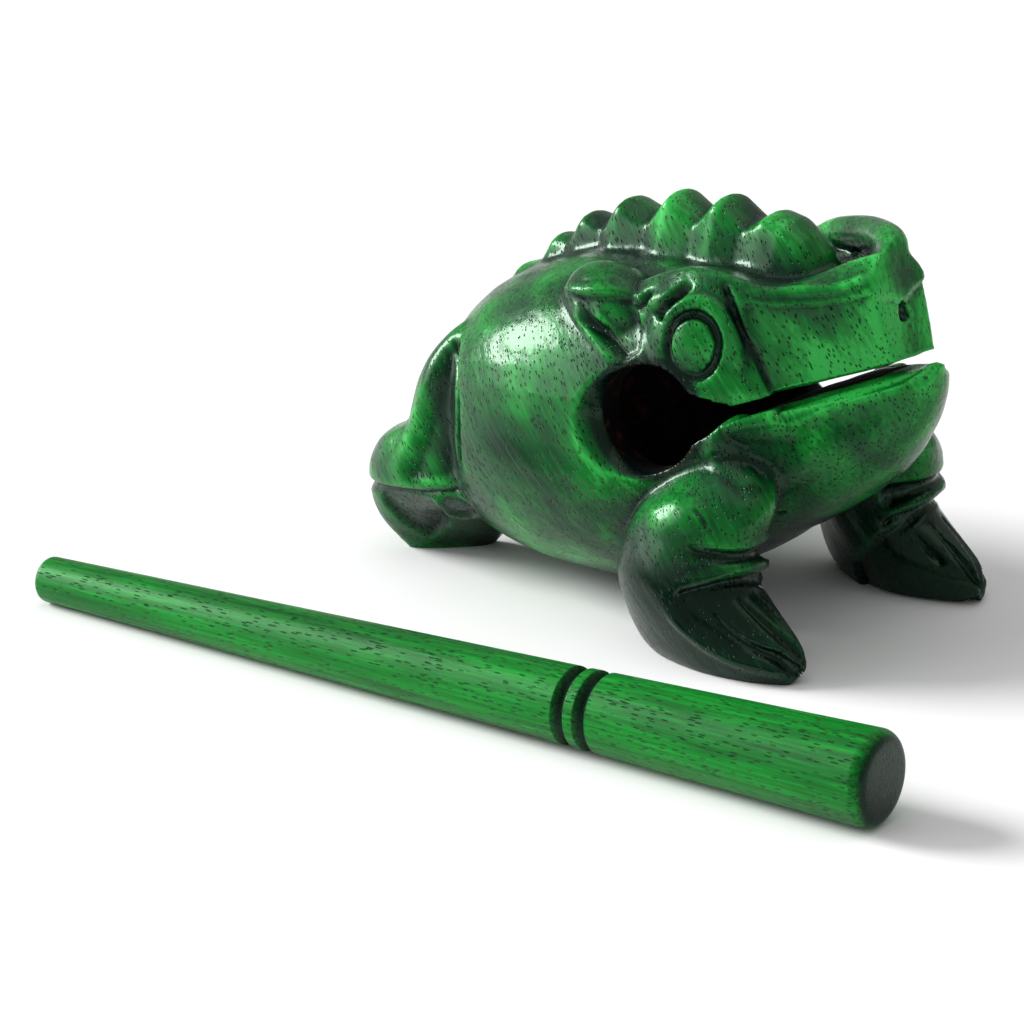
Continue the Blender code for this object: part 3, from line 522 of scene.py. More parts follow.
# Raised and sunk fields of the right side, mirrored to the left. Each has a closed outline, the way it
# faces, its height and the width of its edge.
padKeys = ("name", "facing", "height", "edge", "outline")
pads = tuple(dict(zip(padKeys, row)) for row in (
    ("cheek panel", (0.42, -0.9, 0.05), -0.7, 0.8,
     ((28.5, -18.6, 65.0), (34.2, -16.8, 65.6), (40.8, -13.1, 66.3), (45.8, -10, 67.4),
      (50.4, -7.0, 68.6), (55.8, -3.2, 62.7), (57.2, -2.8, 55.2), (45.2, -12.2, 49), (38, -17.2, 45.6),
      (33.6, -19.4, 54.6))),
    ("leaf face", (-0.1, -0.8, 0.55), -1.0, 1.2,
     ((-8.5, -24, 61.3), (-4, -26.2, 62.2), (1.5, -25.4, 63), (7, -23.8, 63.4), (10, -25.6, 58),
      (11, -27.5, 54.2), (6.5, -26.8, 56.4), (0.5, -26.2, 59.2), (-5, -26, 61))),
    ("toe field", (0.55, -0.5, 0.67), -1.2, 1.8,
     ((29, -37.2, 13.6), (32.2, -38, 9.6), (36.6, -36.6, 7.2), (41, -35, 5.2), (46, -32.6, 4.2),
      (53.5, -30, 2.4), (56, -26, 3), (51.6, -21.6, 5), (45, -20, 8.2), (39.4, -18.6, 12),
      (36.4, -18.2, 15.6), (37.6, -24, 16.8), (36.2, -30, 16.6), (33, -35.4, 15.2))),
    ("jaw hollow", (0.45, -0.85, 0.0), -0.8, 5.0,
     ((31, -23.6, 42), (35.4, -21.6, 42.7), (41.4, -18.2, 43.2), (41.5, -18, 38), (38.5, -21, 32),
      (35, -24, 33), (30, -24.8, 37))),
    ("shoulder knob", (0.1, -0.8, 0.6), 0.8, 4.5,
     ((20.5, -34.5, 27.5), (24.5, -33.6, 31.5), (29.5, -33, 31), (32.4, -33, 28.4), (29.5, -35, 26.5),
      (24.5, -36, 25))),
    ("thigh hollow", (0.25, -0.95, 0.1), -1.3, 5.0,
     ((-37.6, -26, 45), (-39, -29, 38), (-41.2, -30.5, 30), (-43.2, -31.3, 23), (-44, -31, 18.6),
      (-38, -31, 18.4), (-33.6, -30.4, 20.5), (-32.4, -31, 28), (-32.4, -31, 36), (-35, -28, 43))),
    ("hind foot field", (0.1, -0.8, -0.55), -1.1, 1.5,
     ((-52.6, -29.4, 12.4), (-51.6, -27.6, 9), (-48.8, -24.2, 4.8), (-46.6, -22.2, 3.2),
      (-41.6, -23.6, 7), (-38.4, -27, 11), (-38.6, -29.6, 14.2), (-46, -30, 13.8))),
    ("hind heel field", (0.3, -0.7, -0.6), -1.0, 0.8,
     ((-36.4, -29.8, 14.8), (-37, -27, 11.4), (-34, -24.6, 11), (-31.6, -25.8, 13.4), (-32.4, -28.6, 16))),
))

# Raised and cut lines of the right side, mirrored to the left. half: widths to the two sides at the start
# and at the end, height: at the start and at the end, below 0 for a gouge, runOut: the share of the length
# that fades at each end.
reliefKeys = ("name", "shape", "half", "height", "runOut", "line")
ridges = tuple(dict(zip(reliefKeys, row)) for row in (
    ("leaf crease", "vee", ((1.6, 1.8), (2.0, 1.6)), (0.6, 0.7), (0.1, 0.35),
     ((-9.6, -23, 61.6), (-4.1, -26, 62.9), (1.5, -25.2, 63.8), (7.5, -23.4, 64.4))),
    ("gouge lip", "vee", ((1.0, 1.4), (1.0, 1.6)), (0.7, 0.8), (0.12, 0.12),
     ((-6.4, -26.2, 59.4), (0.4, -27.6, 55.4), (6, -28.6, 52.4), (10, -29, 50.8))),
    ("eyelid", "vee", ((1.2, 3.4), (1.2, 3.0)), (1.0, 1.1), (0.12, 0.15),
     ((15.2, -25.6, 60.2), (16.6, -24.8, 62.6), (18.4, -23.4, 64.6), (21.5, -22, 65.6),
      (25.1, -20.9, 64.2), (28.1, -20.5, 60.8), (29.6, -20.5, 56.3), (30, -21, 52.6))),
    ("brow band", "round", ((1.5, 1.3), (1.3, 1.2)), (0.5, 0.7), (0.15, 0.1),
     ((27.5, -18.2, 68), (33, -16.2, 68), (38.6, -13, 68.6), (43.6, -10.2, 69.6), (48.6, -6.2, 71.6))),
    ("cuff roll", "round", ((1.6, 1.6), (2.2, 2.2)), (0.3, 1.2), (0.3, 0.12),
     ((28.2, -38, 15.6), (32, -36.8, 18), (36.3, -33, 19.4), (38, -26.5, 19.2), (37.4, -20, 18),
      (35.6, -16.4, 16.6))),
    ("hand rim", "round", ((1.2, 1.2), (1.2, 1.2)), (0.4, 0.5), (0.15, 0.1),
     ((27.6, -37.7, 12), (31.4, -38.2, 9.2), (35.8, -37.3, 6.4), (40.2, -35.6, 4.6), (45.4, -33, 3.4),
      (50.2, -29.8, 2.8))),
    ("jaw edge", "round", ((3.4, 3.4), (3.0, 3.0)), (0.9, 0.9), (0.2, 0.25),
     ((25.4, -26.6, 40.6), (29, -25.2, 38.6), (33.6, -25, 35.9), (38.3, -25, 32.6))),
    ("thigh edge", "round", ((3.6, 3.0), (3.6, 3.0)), (0.4, 0.4), (0.2, 0.15),
     ((-38.9, -27.6, 43.2), (-40.6, -29.9, 35.4), (-42.9, -30.6, 28.4), (-45.2, -31.4, 21.9),
      (-47.4, -31, 17.4))),
))
gouges = tuple(dict(zip(reliefKeys, row)) for row in (
    ("under the leaf", "vee", ((1.2, 1.6), (1.6, 2.4)), (-0.8, -2.3), (0.35, 0.12),
     ((-8.6, -23.6, 60.4), (-3.6, -26.6, 60.9), (0.3, -26.2, 57.9), (6.4, -26.8, 54.8),
      (10.8, -28, 52.4))),
    ("rear notch", "vee", ((2.0, 1.6), (1.3, 1.1)), (-2.0, -2.0), (0.12, 0.3),
     ((8.5, -24.4, 61.2), (9.5, -23.6, 63.4), (10.6, -22.4, 65.8))),
    ("front notch", "vee", ((2.3, 1.7), (1.4, 1.2)), (-2.3, -1.9), (0.12, 0.25),
     ((13.9, -24.9, 60.6), (15.3, -23.6, 62.9), (17.1, -22.3, 66.2), (18.2, -20.6, 68))),
    ("panel line", "vee", ((0.9, 1.1), (0.9, 1.1)), (-1.3, -0.8), (0.1, 0.15),
     ((24.2, -19.6, 69.2), (27, -20.2, 65.4), (30, -20, 60.5), (33.2, -19.6, 55.6), (36.4, -18.9, 50))),
    ("cuff top", "round", ((1.4, 1.4), (2.2, 2.2)), (-0.9, -1.8), (0.3, 0.08),
     ((28.7, -37.2, 23.2), (32.7, -34.9, 22.8), (36.7, -31, 22.2), (38.6, -25, 22), (38, -19, 21),
      (36, -15.8, 20))),
    ("cuff foot", "vee", ((1.2, 1.2), (1.5, 1.5)), (-0.7, -1.5), (0.2, 0.08),
     ((27.2, -37.6, 12.8), (32.2, -35.8, 15.7), (36.1, -31.7, 17), (38.2, -26, 16.8), (37.6, -20, 15.8),
      (36, -16.4, 14.6))),
    ("outer toe gouge", "round", ((0.4, 0.4), (1.7, 2.0)), (-0.4, -1.3), (0.15, 0.05),
     ((35.4, -35.2, 13), (39.6, -34.8, 9.3), (45.4, -32.8, 6.6), (48.4, -31, 5.4), (53.5, -29.4, 2.2))),
    ("middle toe gouge", "round", ((0.4, 0.4), (1.9, 2.1)), (-0.4, -1.5), (0.12, 0.05),
     ((38, -31, 15), (42.6, -30.4, 11.8), (47.2, -29.4, 8.6), (51, -28, 5.8), (56, -26.6, 2.4))),
    ("inner toe gouge", "round", ((0.4, 0.4), (1.8, 1.9)), (-0.4, -1.4), (0.12, 0.05),
     ((38.6, -26, 15), (43.2, -26, 12), (48, -25.6, 8.4), (51, -25.2, 6.2), (56, -24.4, 3))),
    ("thumb gouge", "round", ((0.4, 0.4), (1.6, 1.6)), (-0.3, -1.2), (0.12, 0.35),
     ((38, -21.4, 14.4), (42, -21.4, 11.6), (46.4, -22, 8.2))),
    ("thigh fold", "vee", ((1.6, 1.2), (3.0, 1.0)), (-1.0, -2.4), (0.15, 0.12),
     ((-37.5, -24.7, 47.6), (-34.4, -27.9, 43.3), (-31.5, -31.1, 37), (-31.4, -31.2, 31),
      (-32.4, -30.3, 22))),
    ("thigh foot", "vee", ((1.4, 1.6), (1.6, 1.8)), (-1.0, -1.9), (0.08, 0.08),
     ((-59.5, -22, 14), (-56.8, -28.2, 13.6), (-47.8, -30, 14.9), (-39.5, -30.2, 16.4),
      (-31.2, -28.6, 18.4))),
    ("shoulder nick", "vee", ((0.6, 0.6), (0.7, 0.7)), (-0.5, -0.6), (0.25, 0.25),
     ((29.6, -33.8, 30.4), (31.6, -33.6, 29.4), (33.4, -33.4, 27.4))),
))


def nearestOnPath(points, path):
    # the nearest place on a line of short segments, the line's direction there, and how far along it is
    best = np.full(len(points), np.inf)
    along = np.zeros(len(points))
    foot = np.zeros_like(points)
    heading = np.zeros_like(points)
    for k, (start, end) in enumerate(zip(path[:-1], path[1:])):
        step = end - start
        t = np.clip((points - start) @ step / (step @ step), 0, 1)
        place = start + t[:, None] * step
        gap = ((points - place) ** 2).sum(axis=1)
        closer = gap < best
        best[closer] = gap[closer]
        along[closer] = (k + t[closer]) / (len(path) - 1)
        foot[closer] = place[closer]
        heading[closer] = step / np.linalg.norm(step)
    return foot, heading, along


def lineHeight(points, normals, line):
    # a vee or a round section across the line, measured along the surface, which fades at both ends
    path = smoothRows(line["line"], 26)
    height = np.zeros(len(points))
    reach = 7.0         # mm round the line that are worked out at all
    sheet = 5.0         # mm off the line's own level, so that it doesn't show on the far side
    near = np.all((points > path.min(axis=0) - reach) & (points < path.max(axis=0) + reach), axis=1)
    spot, normal = points[near], normals[near]
    foot, heading, along = nearestOnPath(spot, path)
    offset = spot - foot
    across = np.cross(heading, normal)
    across /= np.maximum(np.linalg.norm(across, axis=1, keepdims=True), 1e-6)
    aside = (offset * across).sum(axis=1)
    beyond = (offset * heading).sum(axis=1)
    above = (offset * normal).sum(axis=1)
    (leftStart, rightStart), (leftEnd, rightEnd) = line["half"]
    left = leftStart + (leftEnd - leftStart) * along
    right = rightStart + (rightEnd - rightStart) * along
    share = np.hypot(aside, beyond) / np.where(aside > 0, right, left)
    if line["shape"] == "vee":
        section = np.clip(1 - share, 0, 1)
    else:
        section = np.clip(1 - share ** 2, 0, 1)
    runIn, runOut = line["runOut"]
    ends = np.minimum(easeStep(along / runIn), easeStep((1 - along) / runOut))
    start, end = line["height"]
    height[near] = section * ends * (start + (end - start) * along) * (np.abs(above) < sheet)
    return height


def padShare(points, pad):
    # 1 inside the closed outline, seen along the way it faces, 0 outside, with an eased step between
    outline = smoothRing(pad["outline"], 4)
    middle = outline.mean(axis=0)
    facing = np.array(pad["facing"]) / np.linalg.norm(pad["facing"])
    sideways = np.cross(facing, (0, 0, 1))
    sideways /= np.linalg.norm(sideways)
    basis = np.stack([sideways, np.cross(facing, sideways)], axis=1)
    share = np.zeros(len(points))
    size = np.linalg.norm(outline - middle, axis=1).max() + pad["edge"]
    near = np.linalg.norm(points - middle, axis=1) < size
    flat = (points[near] - middle) @ basis
    corner = (outline - middle) @ basis
    distance = np.full(len(flat), np.inf)
    inside = np.zeros(len(flat), bool)
    for start, end in zip(corner, np.roll(corner, -1, axis=0)):
        step = end - start
        t = np.clip((flat - start) @ step / (step @ step), 0, 1)
        distance = np.minimum(distance, np.linalg.norm(flat - start - t[:, None] * step, axis=1))
        crosses = (start[1] > flat[:, 1]) != (end[1] > flat[:, 1])
        rise = end[1] - start[1] if end[1] != start[1] else 1.0
        atX = start[0] + (flat[:, 1] - start[1]) / rise * step[0]
        inside ^= crosses & (flat[:, 0] < atX)
    signed = np.where(inside, distance, -distance)
    share[near] = easeStep(signed / pad["edge"] + 0.5)
    return share


def eyeHeight(points):
    # an oval ring cut round the eye, which leaves a domed disc standing in it
    centre, facing = eyeFrame(-1)
    sideways = np.cross((0, 0, 1), facing)
    sideways /= np.linalg.norm(sideways)
    offset = points - centre
    outward = offset @ facing
    halfLength, halfHeight = frog["eyeDisc"]
    radius = np.hypot((offset @ sideways) / halfLength, (offset @ np.cross(facing, sideways)) / halfHeight)
    groove = frog["eyeGroove"] / (halfLength + halfHeight)
    share = np.abs(radius - 1 - groove) / (groove * 1.15)
    dome = frog["eyeDome"] * np.clip(1 - radius ** 2, 0, 1)
    cut = frog["eyeGrooveDepth"] * np.sqrt(np.clip(1 - share ** 2, 0, 1))
    sheet = 5.0
    return (dome - cut) * (np.abs(outward) < sheet)


def handWaver(points):
    # the slight waviness of knife and gouge work: a few long sine waves in unlike directions
    waves = np.random.default_rng(7)
    steepness = 0.004
    total = np.zeros(len(points))
    for length in (31.0, 19.0, 13.0, 9.0, 7.0):
        way = waves.normal(size=3)
        way /= np.linalg.norm(way)
        total += length * steepness * np.sin(points @ way * math.tau / length + waves.uniform(0, math.tau))
    return total


def rightMirror(points):
    # turns points of the left side into their twins on the right, where the tables lie
    return np.where(points[:, 1:2] > 0, np.array([[1.0, -1.0, 1.0]]), 1.0)


edges = meshEdges(frogPiece.data)
points = readPoints(frogPiece.data)
normals = pointNormals(frogPiece.data, edges, 8)
mirror = rightMirror(points)
rightSide = points * mirror
rightNormals = normals * mirror
outside = easeStep((hollowGap(points) - frog["reliefStart"]) / frog["reliefFade"])
lift = np.zeros(len(points))
for pad in pads:
    lift += pad["height"] * padShare(rightSide, pad)
for ridge in ridges:
    lift += lineHeight(rightSide, rightNormals, ridge)
points = points + normals * (lift * outside)[:, None]
writePoints(frogPiece.data, points)
normals = pointNormals(frogPiece.data, edges, 6)
rightSide = points * mirror
rightNormals = normals * mirror
carved = eyeHeight(rightSide)
for gouge in gouges:
    cut = lineHeight(rightSide, rightNormals, gouge)
    carved = np.where(cut < 0, np.minimum(carved, cut), carved)
points = points + normals * (carved * outside + handWaver(points))[:, None]
points[:, 2] = np.maximum(points[:, 2], 0)
writePoints(frogPiece.data, points)
decimate = frogPiece.modifiers.new("fewer faces", "DECIMATE")
decimate.ratio = min(1.0, frog["triangles"] / (2 * len(frogPiece.data.polygons)))
applyModifiers(frogPiece)

print("stage: the frog's colour masks")

colourMasks = {
    "hollowGain": (2.0, 0.25), "ridgeGain": (2.6, 0.2),     # for each mm, near by and over a wide stretch
    "wristZ": 28, "wristFade": 16, "handX": 6, "handFade": 10,      # mm
    "ankleZ": 17, "ankleFade": 5, "hindX": -30, "hindFade": 5, "hindShare": 0.5,
    "rawGap": 0.45, "holeShadeGap": 2.2, "holeShadeFade": 1.2,
    "snoutX": 50, "snoutFadeX": 3, "snoutZ": 54, "snoutFadeZ": 2, "snoutShare": 0.7,
}


def writeMask(mesh, name, values):
    attribute = mesh.attributes.new(name, "FLOAT", "POINT")
    attribute.data.foreach_set("value", np.clip(values, 0, 1).astype(np.float32))


def hollowness(mesh, repeats):
    # how far each point lies below the mean surface round it, in millimetres
    edges = meshEdges(mesh)
    points = readPoints(mesh)
    smooth = points.copy()
    for _ in range(repeats):
        smooth = neighbourMean(smooth, edges, 0.9)
    return ((smooth - points) * pointNormals(mesh, edges, 2)).sum(axis=1)


mesh = frogPiece.data
points = readPoints(mesh)
near = hollowness(mesh, 12)
wide = hollowness(mesh, 60)
nearGain, wideGain = colourMasks["hollowGain"]
writeMask(mesh, "hollow", near * nearGain + wide * wideGain)
nearGain, wideGain = colourMasks["ridgeGain"]
writeMask(mesh, "ridge", -near * nearGain - wide * wideGain)
x, y, z = points.T
# painted shade: the hands and the hind feet are coloured darker, most towards the floor
paintedFeetShade = (easeStep((colourMasks["wristZ"] - z) / colourMasks["wristFade"])
          * easeStep((x - colourMasks["handX"]) / colourMasks["handFade"]))
hind = (easeStep((colourMasks["ankleZ"] - z) / colourMasks["ankleFade"])
        * easeStep((colourMasks["hindX"] - x) / colourMasks["hindFade"]))
writeMask(mesh, "paintedFeetShade", paintedFeetShade + colourMasks["hindShare"] * hind)
middles = np.empty(len(mesh.polygons) * 3)
mesh.polygons.foreach_get("center", middles)
raw = hollowGap(middles.reshape(-1, 3)) < colourMasks["rawGap"]
# painted shade: darker towards the side hole's rim and inside it
holeX, holeZ = frog["holeCentre"]
rim = np.hypot(x - holeX, z - holeZ) - frog["holeRadius"]
writeMask(mesh, "holeShade", easeStep((colourMasks["holeShadeGap"] - rim) / colourMasks["holeShadeFade"]))
# painted light: the planed cheek panels and the snout's flat front are coloured lighter
snoutFront = (easeStep((x - colourMasks["snoutX"]) / colourMasks["snoutFadeX"])
              * easeStep((z - colourMasks["snoutZ"]) / colourMasks["snoutFadeZ"]))
cheek = padShare(points * rightMirror(points), pads[0])
writeMask(mesh, "paintedCheekLight", np.maximum(cheek, colourMasks["snoutShare"] * snoutFront))
cadLow, cadHigh = (np.array(corner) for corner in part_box(frog["node"]))
low, high = points.min(axis=0) * mm, points.max(axis=0) * mm
shift = (cadLow + cadHigh) / 2 - (low + high) / 2
shift[2] = cadLow[2] - low[2]
writePoints(mesh, points * mm + shift)
mesh.shade_smooth()
print("frog triangles", sum(len(polygon.vertices) - 2 for polygon in mesh.polygons), "shift", shift)

print("stage: the scraper stick")

stick = {
    "node": "scraper_stick", "slot": "stained_stick_wood",
    "length": 185.0, "tipRadius": 4.4, "neckRadius": 7.2, "endRadius": 8.6, "handle": 57.0,
    "ringWidth": 2.6, "ringDepth": 1.3, "ringSpacing": 4.6, "endRounds": (1.2, 2.6),
    "angle": 7.0, "middle": (9.4, -79.8), "sides": 96,
}


def stickRadius(along):
    # a straight taper in two lengths, less two V rings, with a quarter round at each end
    handleStart = stick["length"] - stick["handle"]
    radius = np.interp(along, (0, handleStart, stick["length"]),
                       (stick["tipRadius"], stick["neckRadius"], stick["endRadius"]))
    for centre in (handleStart, handleStart - stick["ringSpacing"]):
        share = np.clip(1 - np.abs(along - centre) / (stick["ringWidth"] / 2), 0, 1)
        radius = radius - stick["ringDepth"] * share ** 0.8
    for edge, fromEnd in zip(stick["endRounds"], (along, stick["length"] - along)):
        gap = np.clip(edge - fromEnd, 0, edge)
        radius = radius - (edge - np.sqrt(np.maximum(edge ** 2 - gap ** 2, 0)))
    return radius


def makeStick():
    # the radius above, carried round the straight line between the middles of the two ends
    length = stick["length"]
    even = np.linspace(0, length, 420)
    quarter = 1 - np.cos(np.linspace(0, math.pi / 2, 9))
    handleStart = length - stick["handle"]
    rings = handleStart + np.linspace(-stick["ringSpacing"] - 2, 2, 70)
    corners = [stick["endRounds"][0] * quarter, length - stick["endRounds"][1] * quarter]
    along = np.unique(np.concatenate([even, *corners, rings]).round(4))
    radius = stickRadius(along)
    along = np.concatenate([[0, 0], along, [length, length]])
    radius = np.concatenate([[0.3 * radius[0], 0.7 * radius[0]], radius,
                             [0.7 * radius[-1], 0.3 * radius[-1]]])
    slope = math.atan((stick["endRadius"] - stick["tipRadius"]) / (length - stick["endRounds"][0]))
    turn = math.radians(stick["angle"])
    heading = np.array((math.cos(slope) * math.cos(turn), math.cos(slope) * math.sin(turn), math.sin(slope)))
    sideways = np.array((-math.sin(turn), math.cos(turn), 0))
    above = np.cross(heading, sideways)
    angle = np.linspace(0, math.tau, stick["sides"], endpoint=False)[None, :, None]
    start = np.array((*stick["middle"], 0)) - heading * length / 2
    start[2] = stick["tipRadius"] * math.cos(slope)
    grid = (start + along[:, None, None] * heading
            + radius[:, None, None] * (np.cos(angle) * sideways + np.sin(angle) * above))
    grid[..., 2] -= grid[..., 2].min()
    made = skin("turned_stick", grid)
    # the end faces and the two rings are coloured darker
    place = (readPoints(made.data) - start) @ heading
    darkerEnds = easeStep((place - length + 1.2) / 1.6) + easeStep((0.6 - place) / 0.8)
    for centre in (handleStart, handleStart - stick["ringSpacing"]):
        darkerEnds += 0.8 * easeStep(1 - np.abs(place - centre) / (stick["ringWidth"] * 0.7))
    writeMask(made.data, "darkerEnds", darkerEnds)
    return made


stickPiece = makeStick()
boxLow, boxHigh = (np.array(corner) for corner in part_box(stick["node"]))
points = readPoints(stickPiece.data) * mm
move = (boxLow + boxHigh) / 2 - (points.min(axis=0) + points.max(axis=0)) / 2
move[2] = boxLow[2] - points[:, 2].min()
writePoints(stickPiece.data, points + move)
stickPiece.data.shade_smooth()
print("stick box move", move)

print("stage: materials")


def toLinear(code):
    # an sRGB hex colour as linear red, green, blue and alpha
    values = [int(code[i:i + 2], 16) / 255 for i in (1, 3, 5)]
    return tuple(v / 12.92 if v <= 0.04045 else ((v + 0.055) / 1.055) ** 2.4 for v in values) + (1.0,)


def addNode(tree, kind, inputs=None, output=0, **settings):
    # a node with its settings; each input takes a value, or the output that is linked to it; gives the
    # asked output, or the node itself where that is None
    made = tree.nodes.new(kind)
    for name, value in settings.items():
        setattr(made, name, value)
    for name, value in (inputs or {}).items():
        if isinstance(value, bpy.types.NodeSocket):
            tree.links.new(value, made.inputs[name])
        else:
            made.inputs[name].default_value = value
    return made if output is None else made.outputs[output]


def newMaterial(name):
    material = bpy.data.materials.new(name)
    material.use_nodes = True
    tree = material.node_tree
    return material, tree, tree.nodes["Principled BSDF"]


# Open-pored hardwood such as monkeypod, stained dark green and sprayed with gloss lacquer: the stain
# pools in the pores, the colour is darker in hollows and lighter on ridges, and the pores break up the
# reflections in the coat.
lacquer = {
    # share of the stain's tone: colour
    "tones": ((0.0, "#01070b"), (0.3, "#021d12"), (0.55, "#05461c"), (0.8, "#0b7626"), (1.0, "#2cab45")),
    "grainTilt": 48.0,      # degrees that the grain drops towards the snout
    # length and width in mm, detail, weight in the tone, depth of the relief in mm
    "noises": {"fibre": ((22.0, 0.9), 4.0, 0.6, 0.07), "blotch": ((30.0, 15.0), 2.0, 1.4, 0.0),
               "ripple": ((9.0, 2.6), 1.0, 0.0, 0.15)},
    "noiseRoughness": 0.6, "toneBase": -0.5,
    # painted shade darkens the feet and round the side hole; painted light lightens the cheek panels and the
    # snout's front
    "masks": {"ridge": 0.3, "paintedCheekLight": 0.3, "hollow": -0.45, "paintedFeetShade": -0.55, "holeShade": -0.9},
    "pore": "#010503", "poreSpacing": (2.1, 0.55), "poreDepth": 0.45,
    "poresKept": 0.75, "poreDarkening": 0.8,
    "roughness": 0.33, "specular": 0.4, "specularTint": "#7fd898", "coat": 0.28, "coatIor": 1.5,
    "coatRoughness": 0.12,
}

# The same stain on a turned hardwood stick, rubbed with a thin satin finish: the grain runs along it,
# and its short open pores stay dark.
stickFinish = {
    "tones": ((0.0, "#010f0b"), (0.3, "#023a12"), (0.6, "#046c1c"), (0.85, "#0a9229"), (1.0, "#2fb94a")),
    "noises": {"fibre": ((34.0, 0.75), 5.0, 1.1, 0.09), "blotch": ((60.0, 9.0), 2.0, 0.7, 0.0)},
    "noiseRoughness": 0.65, "toneBase": -0.3,
    "masks": {"darkerEnds": -0.9},
    "pore": "#02140a", "poreSpacing": (3.0, 0.42), "poreDepth": 0.28,
    "poresKept": 0.85, "poreDarkening": 0.75,
    "roughness": 0.42, "specular": 0.3, "specularTint": "#8fe0a4", "coat": 0.12, "coatIor": 1.5,
    "coatRoughness": 0.3,
}

# Unlacquered wood inside the hollows, near-black for painted shade in them, with bare brown streaks
rawWood = {"dark": "#040303", "bare": "#3a1708", "patch": (24.0, 2.2), "roughness": 0.85, "specular": 0.1}


def stretchedSpace(tree, turn, size):
    # the object's own space, turned to the grain and scaled to a pattern this many mm long and wide
    along, across = size
    place = addNode(tree, "ShaderNodeTexCoord", output="Object")
    turned = addNode(tree, "ShaderNodeMapping", {"Vector": place, "Rotation": turn})
    scale = (1 / (along * mm), 1 / (across * mm), 1 / (across * mm))
    return addNode(tree, "ShaderNodeMapping", {"Vector": turned, "Scale": scale})


def openPores(tree, turn, size, kept):
    # short dashes: the middles of stretched cells, in the kept share of them
    cells = addNode(tree, "ShaderNodeTexVoronoi", {"Vector": stretchedSpace(tree, turn, size), "Scale": 1.0},
                    output=None, feature="F1")
    pit = addNode(tree, "ShaderNodeMapRange", {"Value": cells.outputs["Distance"], "From Min": 0.12,
                                               "From Max": 0.30, "To Min": 1.0, "To Max": 0.0})
    chosen = addNode(tree, "ShaderNodeSeparateColor", {"Color": cells.outputs["Color"]})
    few = addNode(tree, "ShaderNodeMath", {0: chosen, 1: kept}, operation="LESS_THAN")
    return addNode(tree, "ShaderNodeMath", {0: pit, 1: few}, operation="MULTIPLY")


def tonedColour(tree, tone, finish, pore):
    # the stain's colours by its tone, darker in the pores
    ramp = addNode(tree, "ShaderNodeValToRGB", {"Fac": tone}, output=None)
    stops = ramp.color_ramp.elements
    while len(stops) < len(finish["tones"]):
        stops.new(0.5)
    for stop, (place, code) in zip(stops, finish["tones"]):
        stop.position = place
        stop.color = toLinear(code)
    share = addNode(tree, "ShaderNodeMath", {0: pore, 1: finish["poreDarkening"]}, operation="MULTIPLY")
    return addNode(tree, "ShaderNodeMix", {"Factor": share, 6: ramp.outputs["Color"],
                                           7: toLinear(finish["pore"])}, output=2, data_type="RGBA")


def setFinish(tree, shader, finish, colour, height):
    for name, value in (("Roughness", "roughness"), ("Specular IOR Level", "specular"),
                        ("Coat Weight", "coat"), ("Coat Roughness", "coatRoughness"),
                        ("Coat IOR", "coatIor")):
        shader.inputs[name].default_value = finish[value]
    shader.inputs["Specular Tint"].default_value = toLinear(finish["specularTint"])
    tree.links.new(colour, shader.inputs["Base Color"])
    bump = addNode(tree, "ShaderNodeBump", {"Height": height, "Strength": 1.0, "Distance": mm})
    tree.links.new(bump, shader.inputs["Normal"])
    tree.links.new(bump, shader.inputs["Coat Normal"])


def stainedWood(name, finish, turn):
    # tone = its base, and the noises and masks by their weights; height = the noises less the pores
    material, tree, shader = newMaterial(name)
    pore = openPores(tree, turn, finish["poreSpacing"], finish["poresKept"])
    tone = finish["toneBase"]
    height = addNode(tree, "ShaderNodeMath", {0: pore, 1: -finish["poreDepth"]}, operation="MULTIPLY")
    for size, detail, weight, depth in finish["noises"].values():
        noise = addNode(tree, "ShaderNodeTexNoise",
                        {"Vector": stretchedSpace(tree, turn, size), "Scale": 1.0, "Detail": detail,
                         "Roughness": finish["noiseRoughness"]})
        tone = addNode(tree, "ShaderNodeMath", {0: noise, 1: weight, 2: tone}, operation="MULTIPLY_ADD")
        height = addNode(tree, "ShaderNodeMath", {0: noise, 1: depth, 2: height}, operation="MULTIPLY_ADD")
    for maskName, weight in finish["masks"].items():
        mask = addNode(tree, "ShaderNodeAttribute", output="Fac", attribute_name=maskName)
        tone = addNode(tree, "ShaderNodeMath", {0: mask, 1: weight, 2: tone}, operation="MULTIPLY_ADD")
    colour = tonedColour(tree, tone, finish, pore)
    setFinish(tree, shader, finish, colour, height)
    return material


def lacqueredWood():
    turn = (0, -math.radians(lacquer["grainTilt"]), 0)
    return stainedWood("lacquered open-pored wood, stained green", lacquer, turn)


def stainedStickWood():
    return stainedWood("satin stained hardwood", stickFinish, (0, 0, -math.radians(stick["angle"])))


def shadedRawWood():
    material, tree, shader = newMaterial("raw wood inside, near-black for painted shade")
    place = stretchedSpace(tree, (0, 0, 0), rawWood["patch"])
    patch = addNode(tree, "ShaderNodeTexNoise", {"Vector": place, "Scale": 1.0, "Detail": 3.0})
    share = addNode(tree, "ShaderNodeMapRange", {"Value": patch, "From Min": 0.55, "From Max": 0.72})
    colour = addNode(tree, "ShaderNodeMix", {"Factor": share, 6: toLinear(rawWood["dark"]),
                                             7: toLinear(rawWood["bare"])}, output=2, data_type="RGBA")
    tree.links.new(colour, shader.inputs["Base Color"])
    shader.inputs["Roughness"].default_value = rawWood["roughness"]
    shader.inputs["Specular IOR Level"].default_value = rawWood["specular"]
    return material


frogPiece.data.materials.append(lacqueredWood())
frogPiece.data.materials.append(shadedRawWood())
frogPiece.data.polygons.foreach_set("material_index", raw.astype(np.int32))
stickPiece.data.materials.append(stainedStickWood())
for piece, part in ((frogPiece, frog), (stickPiece, stick)):
    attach(piece, "root")
    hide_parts(part["node"])

print("stage: floor, light and camera")

